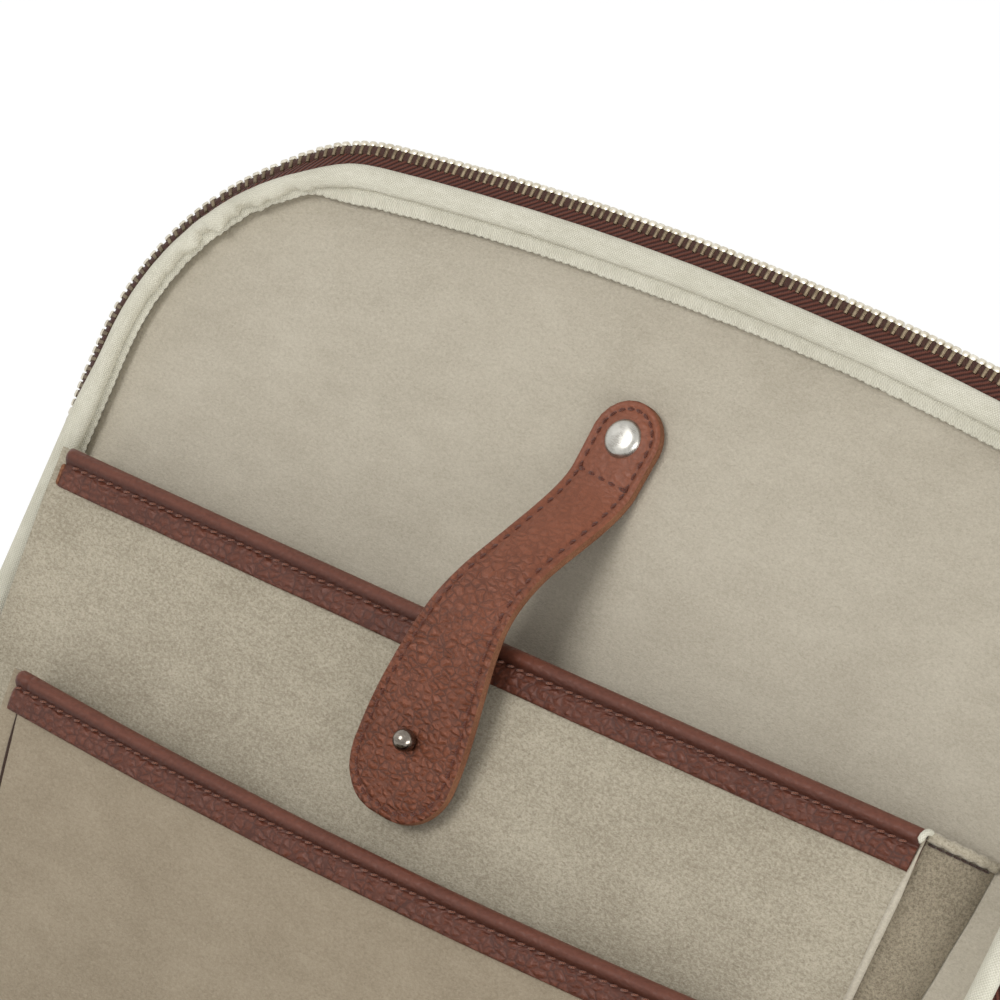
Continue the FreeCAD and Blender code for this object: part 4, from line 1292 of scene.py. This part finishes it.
seam = strap_stitches()
bend_from, bend_to = in_lid(0.2, BEND_Y + 1.0, FLOOR), in_lid(-0.6, BEND_Y - 9.0, FLOOR)
for piece in (strap, seam):
    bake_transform(piece)
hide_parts("strap_face", "strap_backing", "strap_root")
print(seam.name, len(seam.data.vertices), "points")

# %% [markdown]
# ## Rivet and ball stud
# Both are turned parts, so each is a profile spun round an axis. The profile of the rivet is a low
# cap with a rolled rim. The stud has a flange on the suede, a neck through the strap and a ball on
# top. Spinning many steps keeps them round.


# %% Turned parts
def spun(name, profile, foot, axis, material):
    axis = Vector(axis).normalized()
    side = axis.orthogonal().normalized()
    over = axis.cross(side)
    rings = []
    for radius, height in profile:
        spokes = [side * math.cos(t) + over * math.sin(t) for t in turns(48)]
        rings.append([tuple(foot + axis * height + spoke * radius) for spoke in spokes])
    return loft(name, rings, in_lid, material, crisp=50)


cap_top = max(flat_lid(v.co)[2] for v in frame["nodes"]["rivet_cap"].data.vertices)
dome = [(0.05, 0.0), (1.6, -0.06), (2.8, -0.22), (3.5, -0.5), (4.0, -0.95)]
dome += [(4.3, -1.5), (4.4, -1.8), (4.2, -2.0), (0.05, -2.0)]
carry(spun("rivet_dome", dome, Vector((*RIVET, cap_top)), UP, NICKEL), "lid", "metal", "rivet_cap")

STUD_DOWN, BALL, BALL_UP, SEAT = 76.0, 2.5, 8.1, 0.75
STUD = (RIVET[0] - STUD_DOWN * math.sin(SKEW), RIVET[1] - STUD_DOWN * math.cos(SKEW))
stud_run = run_at(STUD[1], SEAT)
seat, above = (Vector(upper.at(0, stud_run, off)) for off in (SEAT, SEAT + 1))
foot = Vector((STUD[0], seat.y, seat.z))
post = [(0.05, -0.5), (3.4, -0.5), (3.6, 0.3), (3.4, 0.9), (1.6, 1.0), (1.5, 1.3)]
post += [(BALL * math.sin(t), BALL_UP - BALL * math.cos(t)) for t in np.linspace(0.64, math.pi - 0.02, 20)]
carry(spun("stud_ball", post, foot, above - seat, STUD_NICKEL_PAINTED_DARK), "lid", "metal", "stud_post")
print("rivet cap top at", round(cap_top, 2), "stud at", tuple(round(c, 1) for c in STUD))

# %% [markdown]
# ## Spine
# Behind the hinge a leather roll fills the gap, and a leather strip joins the two walls, shaped for the
# lid standing open.


# %% Spine roll and strip
def spine_roll():
    rings = []
    half, radius = 102, 3.5
    for x in np.linspace(-half, half, 121):
        rounded = math.sqrt(min(1.0, (half - abs(x)) / 2.5))
        fat = radius * (0.55 + 0.45 * rounded) * (1 + 0.012 * ripple(x, 0, 7.0))
        rings.append([(x, fat * math.cos(t), fat * math.sin(t)) for t in turns(28)])
    return loft("spine_roll", rings, in_base, SHELL)


def spine_strip():
    line = [(3.3, -26.0), (3.3, -18.0), (3.3, -11.0), (2.9, -7.4), (0.9, -5.2)]
    bend = 4.35
    for angle in (math.radians(turn) for turn in (-78, -60, -42, -26)):
        line.append((-bend * math.cos(angle), bend * math.sin(angle)))
    for z in (-4.6, -7.0, -9.6):
        spot = in_lid(0, 3.35, z) - hinge
        line.append((-spot.y * 1000, spot.z * 1000))
    line = np.array(line)
    ahead = np.gradient(line, axis=0)
    ahead /= np.linalg.norm(ahead, axis=1)[:, None]
    normal = np.stack([ahead[:, 1], -ahead[:, 0]], axis=1)
    section = np.vstack([line + normal * 0.4, (line - normal * 0.4)[::-1]])
    rings = [[(x, y, z) for y, z in section] for x in np.linspace(-96, 96, 61)]
    return loft("spine_strip", rings, in_base, SHELL, crisp=50)


carry(spine_roll(), "base", "leather", "hinge_leather")
strip = spine_strip()
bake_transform(strip)
print(strip.name, len(strip.data.vertices), "points")

# %% [markdown]
# ## Dividers, bed and metal fittings
# Dividers and the ring bed are board and foam wrapped in suede. Slider, pull and stops are small
# castings. Their CAD forms are right but sharp. Copies of those meshes get their edges bevelled, the
# wrapped ones are also nudged by noise, and the copies stand for the nodes.


# %% Softened copies
def recoat(piece, material):
    """Gives a piece one smooth-shaded finish."""
    piece.data.materials.clear()
    piece.data.materials.append(material)
    for face in piece.data.polygons:
        face.use_smooth = True


def softened(node, name, material, body, slot, bevel):
    piece = stand(name, frame["nodes"][node].data.copy())
    work = bmesh.new()
    work.from_mesh(piece.data)
    bmesh.ops.remove_doubles(work, verts=work.verts, dist=1e-5)
    bmesh.ops.dissolve_limit(work, angle_limit=math.radians(2), verts=work.verts, edges=work.edges)
    bmesh.ops.recalc_face_normals(work, faces=work.faces)
    work.to_mesh(piece.data)
    work.free()
    round_off = piece.modifiers.new("round", "BEVEL")
    round_off.width, round_off.segments, round_off.limit_method = bevel, 3, "ANGLE"
    round_off.angle_limit = math.radians(35)
    settle(piece)
    if slot == "suede":
        for vertex in piece.data.vertices:
            spot = vertex.co * 1000
            vertex.co += vertex.normal * 0.00012 * noise.noise(spot / 14)
    recoat(piece, material)
    piece.data.set_sharp_from_angle(angle=math.radians(40))
    return carry(piece, body, slot, node)


for node in ("divider_long", "divider_cross", "divider_side", "divider_front", "ring_bed"):
    softened(node, node + "_suede", LINING, "base", "suede", bevel=0.0009)
for body in ("slider", "pull"):
    softened("zip_" + body, body + "_casting", NICKEL, body, "metal", bevel=0.0003)
for body in ("lid", "base"):
    softened(body + "_zip_stops", body + "_stop_castings", TEETH, body, "metal", bevel=0.0003)
print("softened copies made")

# %% [markdown]
# ## Ring rolls
# Five stuffed rolls hold rings between them. A stuffed roll is best made by stuffing it: one roll is
# built a little small, remeshed evenly and blown up by cloth simulation with its foot pinned. Cloth
# settings suit things the size of a cushion, so the roll is simulated at twenty times its size. The
# settled shape is copied to five places.

# %% Blank of a roll
roll_low, roll_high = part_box("ring_rolls")
ROLLS, FRAMES = 5, 20
roll_pitch = (roll_high.y - roll_low.y) / ROLLS
roll_wide = roll_pitch - 0.0004
roll_tall = roll_high.z - roll_low.z
roll_half = (roll_high.x - roll_low.x) / 2


def roll_blank():
    rings = []
    for k in range(61):
        share = k / 60
        end = min(share, 1 - share) * 2 * roll_half
        fat = 0.9 * math.sqrt(min(1.0, 0.25 + end / 0.008))
        ring = []
        for angle in turns(28) - math.pi / 2:
            wide = roll_wide / 2 * fat * math.cos(angle)
            tall = roll_tall * (0.5 + 0.47 * math.sin(angle) * (0.75 + 0.25 * fat))
            ring.append((-roll_half * 0.985 + 1.97 * roll_half * share, wide, max(tall, 0.0006)))
        rings.append(ring)
    return loft("ring_roll_1", rings, lambda *spot: spot, POCKET)


print("a roll is", round(2000 * roll_half, 1), "mm long and", round(1000 * roll_tall, 1), "mm high")


# %% Stuff it
def stuffed(piece, cap, grown=20.0):
    """Blows a piece up a little. No point moves further than the cap, in metres."""
    even = piece.modifiers.new("even", "REMESH")
    even.mode, even.voxel_size = "VOXEL", 0.003
    settle(piece)
    rest = [v.co.copy() for v in piece.data.vertices]
    held = piece.vertex_groups.new(name="foot")
    held.add([v.index for v in piece.data.vertices if v.co.z < 0.0025], 1.0, "REPLACE")
    piece.data.transform(Matrix.Scale(grown, 4))
    cloth = piece.modifiers.new("stuffing", "CLOTH")
    suede = cloth.settings
    suede.mass = 0.05
    suede.air_damping = 5.0
    suede.tension_stiffness = suede.compression_stiffness = suede.shear_stiffness = 5.0
    suede.use_pressure = True
    suede.uniform_pressure_force = 50.0
    suede.vertex_group_mass = "foot"
    suede.effector_weights.gravity = 0.0
    cloth.point_cache.frame_end = FRAMES
    for step in range(1, FRAMES + 1):
        bpy.context.scene.frame_set(step)
    settle(piece)
    bpy.context.scene.frame_set(1)
    piece.data.transform(Matrix.Scale(1 / grown, 4))
    total = 0.0
    for vertex, was in zip(piece.data.vertices, rest):
        move = vertex.co - was
        if move.length > cap:
            move *= cap / move.length
        vertex.co = was + move
        total += move.length
    print("stuffing moved the suede by", round(1000 * total / len(rest), 2), "mm on average")


def finish_roll(piece):
    finer = piece.modifiers.new("smooth", "SUBSURF")
    finer.levels = finer.render_levels = 1
    settle(piece)
    low, high = (-roll_half, -roll_wide / 2, 0.0), (roll_half, roll_wide / 2, roll_tall)
    for vertex in piece.data.vertices:
        vertex.co.z += 0.0002 * noise.noise(vertex.co * 1000 / 8)
        vertex.co = [max(a, min(b, c)) for a, b, c in zip(low, high, vertex.co)]
    recoat(piece, POCKET)


roll = roll_blank()
stuffed(roll, cap=0.0012)
finish_roll(roll)
print(roll.name, len(roll.data.vertices), "points")

# %% Five rolls
middle_x = (roll_low.x + roll_high.x) / 2
rolls = [roll]
rolls += [stand("ring_roll_" + str(n + 1), roll.data.copy()) for n in range(1, ROLLS)]
for n, piece in enumerate(rolls):
    turn = Matrix.Rotation(math.pi * (n % 2), 4, "Z")
    spot = (middle_x, roll_low.y + roll_pitch * (n + 0.5), roll_low.z)
    piece.data.transform(Matrix.Translation(spot) @ turn)
    carry(piece, "base", "foam", "ring_rolls")
print(len(rolls), "rolls in their bed")

# %% [markdown]
# ## Floor, light and camera
# The case stands on a plain pale floor. The background should read as white paper without pouring
# light on the leather, so floor and world look white to the camera and to mirrors only, and light the
# case at a plain level. A broad soft lamp from the upper left gives the strap its shadow, and a wider
# one from the lower right fills it.


# %% Floor and world
def in_sight(nodes):
    """1 for what the camera sees, straight, in a mirror or through glass, and 0 for light on its way."""
    kinds = ("Camera", "Glossy", "Transmission")
    camera, mirror, glass = (nodes.node("LightPath", out="Is " + kind + " Ray") for kind in kinds)
    return camera.math("MAXIMUM", camera.math("MAXIMUM", camera, mirror), glass)


def backdrop():
    work = bmesh.new()
    corners = [work.verts.new((x, y, 0.0)) for x, y in ((-6, -6), (6, -6), (6, 6), (-6, 6))]
    work.faces.new(corners)
    bmesh.ops.subdivide_edges(work, edges=work.edges, cuts=3, use_grid_fill=True)
    finish = Finish("pale_floor")
    grain = finish.cloud(finish.where(), 12.0, 3.0)
    pale = finish.mix(grain, (0.86, 0.86, 0.85, 1.0), (0.9, 0.9, 0.89, 1.0))
    finish.feed(finish.shader.inputs["Base Color"], pale)
    finish.shader.inputs["Roughness"].default_value = 0.9
    white = finish.node("Emission", None, {"Color": (1.0, 1.0, 1.0, 1.0), "Strength": 1.1})
    paper = Flow(finish, finish.shader.outputs[0])
    both = finish.node("MixShader", None, {0: in_sight(finish) * 0.8, 1: paper, 2: white})
    finish.feed(finish.tree.nodes["Material Output"].inputs["Surface"], both)
    floor = as_piece("floor", work, finish.material)


def sky(level):
    world = bpy.data.worlds.new("studio")
    bpy.context.scene.world = world
    world.use_nodes = True
    nodes = Nodes(world.node_tree)
    lamp = nodes.tree.nodes["Background"]
    strength = nodes.node("MapRange", None, {"Value": in_sight(nodes), "To Min": level, "To Max": 1.0})
    nodes.feed(lamp.inputs["Strength"], strength)
    lamp.inputs["Color"].default_value = (1.0, 0.99, 0.97, 1.0)


backdrop()
sky(level=0.53)
print("floor and sky are up")

# %% Camera and lamp
aim = in_lid(-22.92, 171.5, FLOOR)
turn, climb = math.radians(41.0), math.radians(29.3)
to_camera = Vector((math.sin(turn) * math.cos(climb), -math.cos(turn) * math.cos(climb), math.sin(climb)))
across = Vector((math.cos(turn), math.sin(turn), 0))
upward = to_camera.cross(across)
lens = bpy.data.cameras.new("camera")
lens.lens, lens.sensor_width = 176.4, 36.0
camera = stand("camera", lens)
DISTANCE = 1.0415
camera.location = aim + to_camera * DISTANCE
camera.rotation_euler = to_camera.to_track_quat("Z", "Y").to_euler()
bpy.context.scene.camera = camera


def soft_lamp(name, direction, away, size, power):
    lamp = bpy.data.lights.new(name, "AREA")
    lamp.size, lamp.energy = size, power
    holder = stand(name, lamp)
    holder.location = aim + direction.normalized() * away
    holder.rotation_euler = direction.to_track_quat("Z", "Y").to_euler()


soft_lamp("key", -0.75 * across + 0.5 * upward + 0.9 * to_camera, away=2.6, size=1.2, power=27.0)
soft_lamp("fill", 0.7 * across - 0.6 * upward + 0.9 * to_camera, away=2.6, size=1.8, power=56.0)
bpy.context.scene.view_settings.view_transform = "Standard"
print("camera at", tuple(round(c, 3) for c in camera.location))
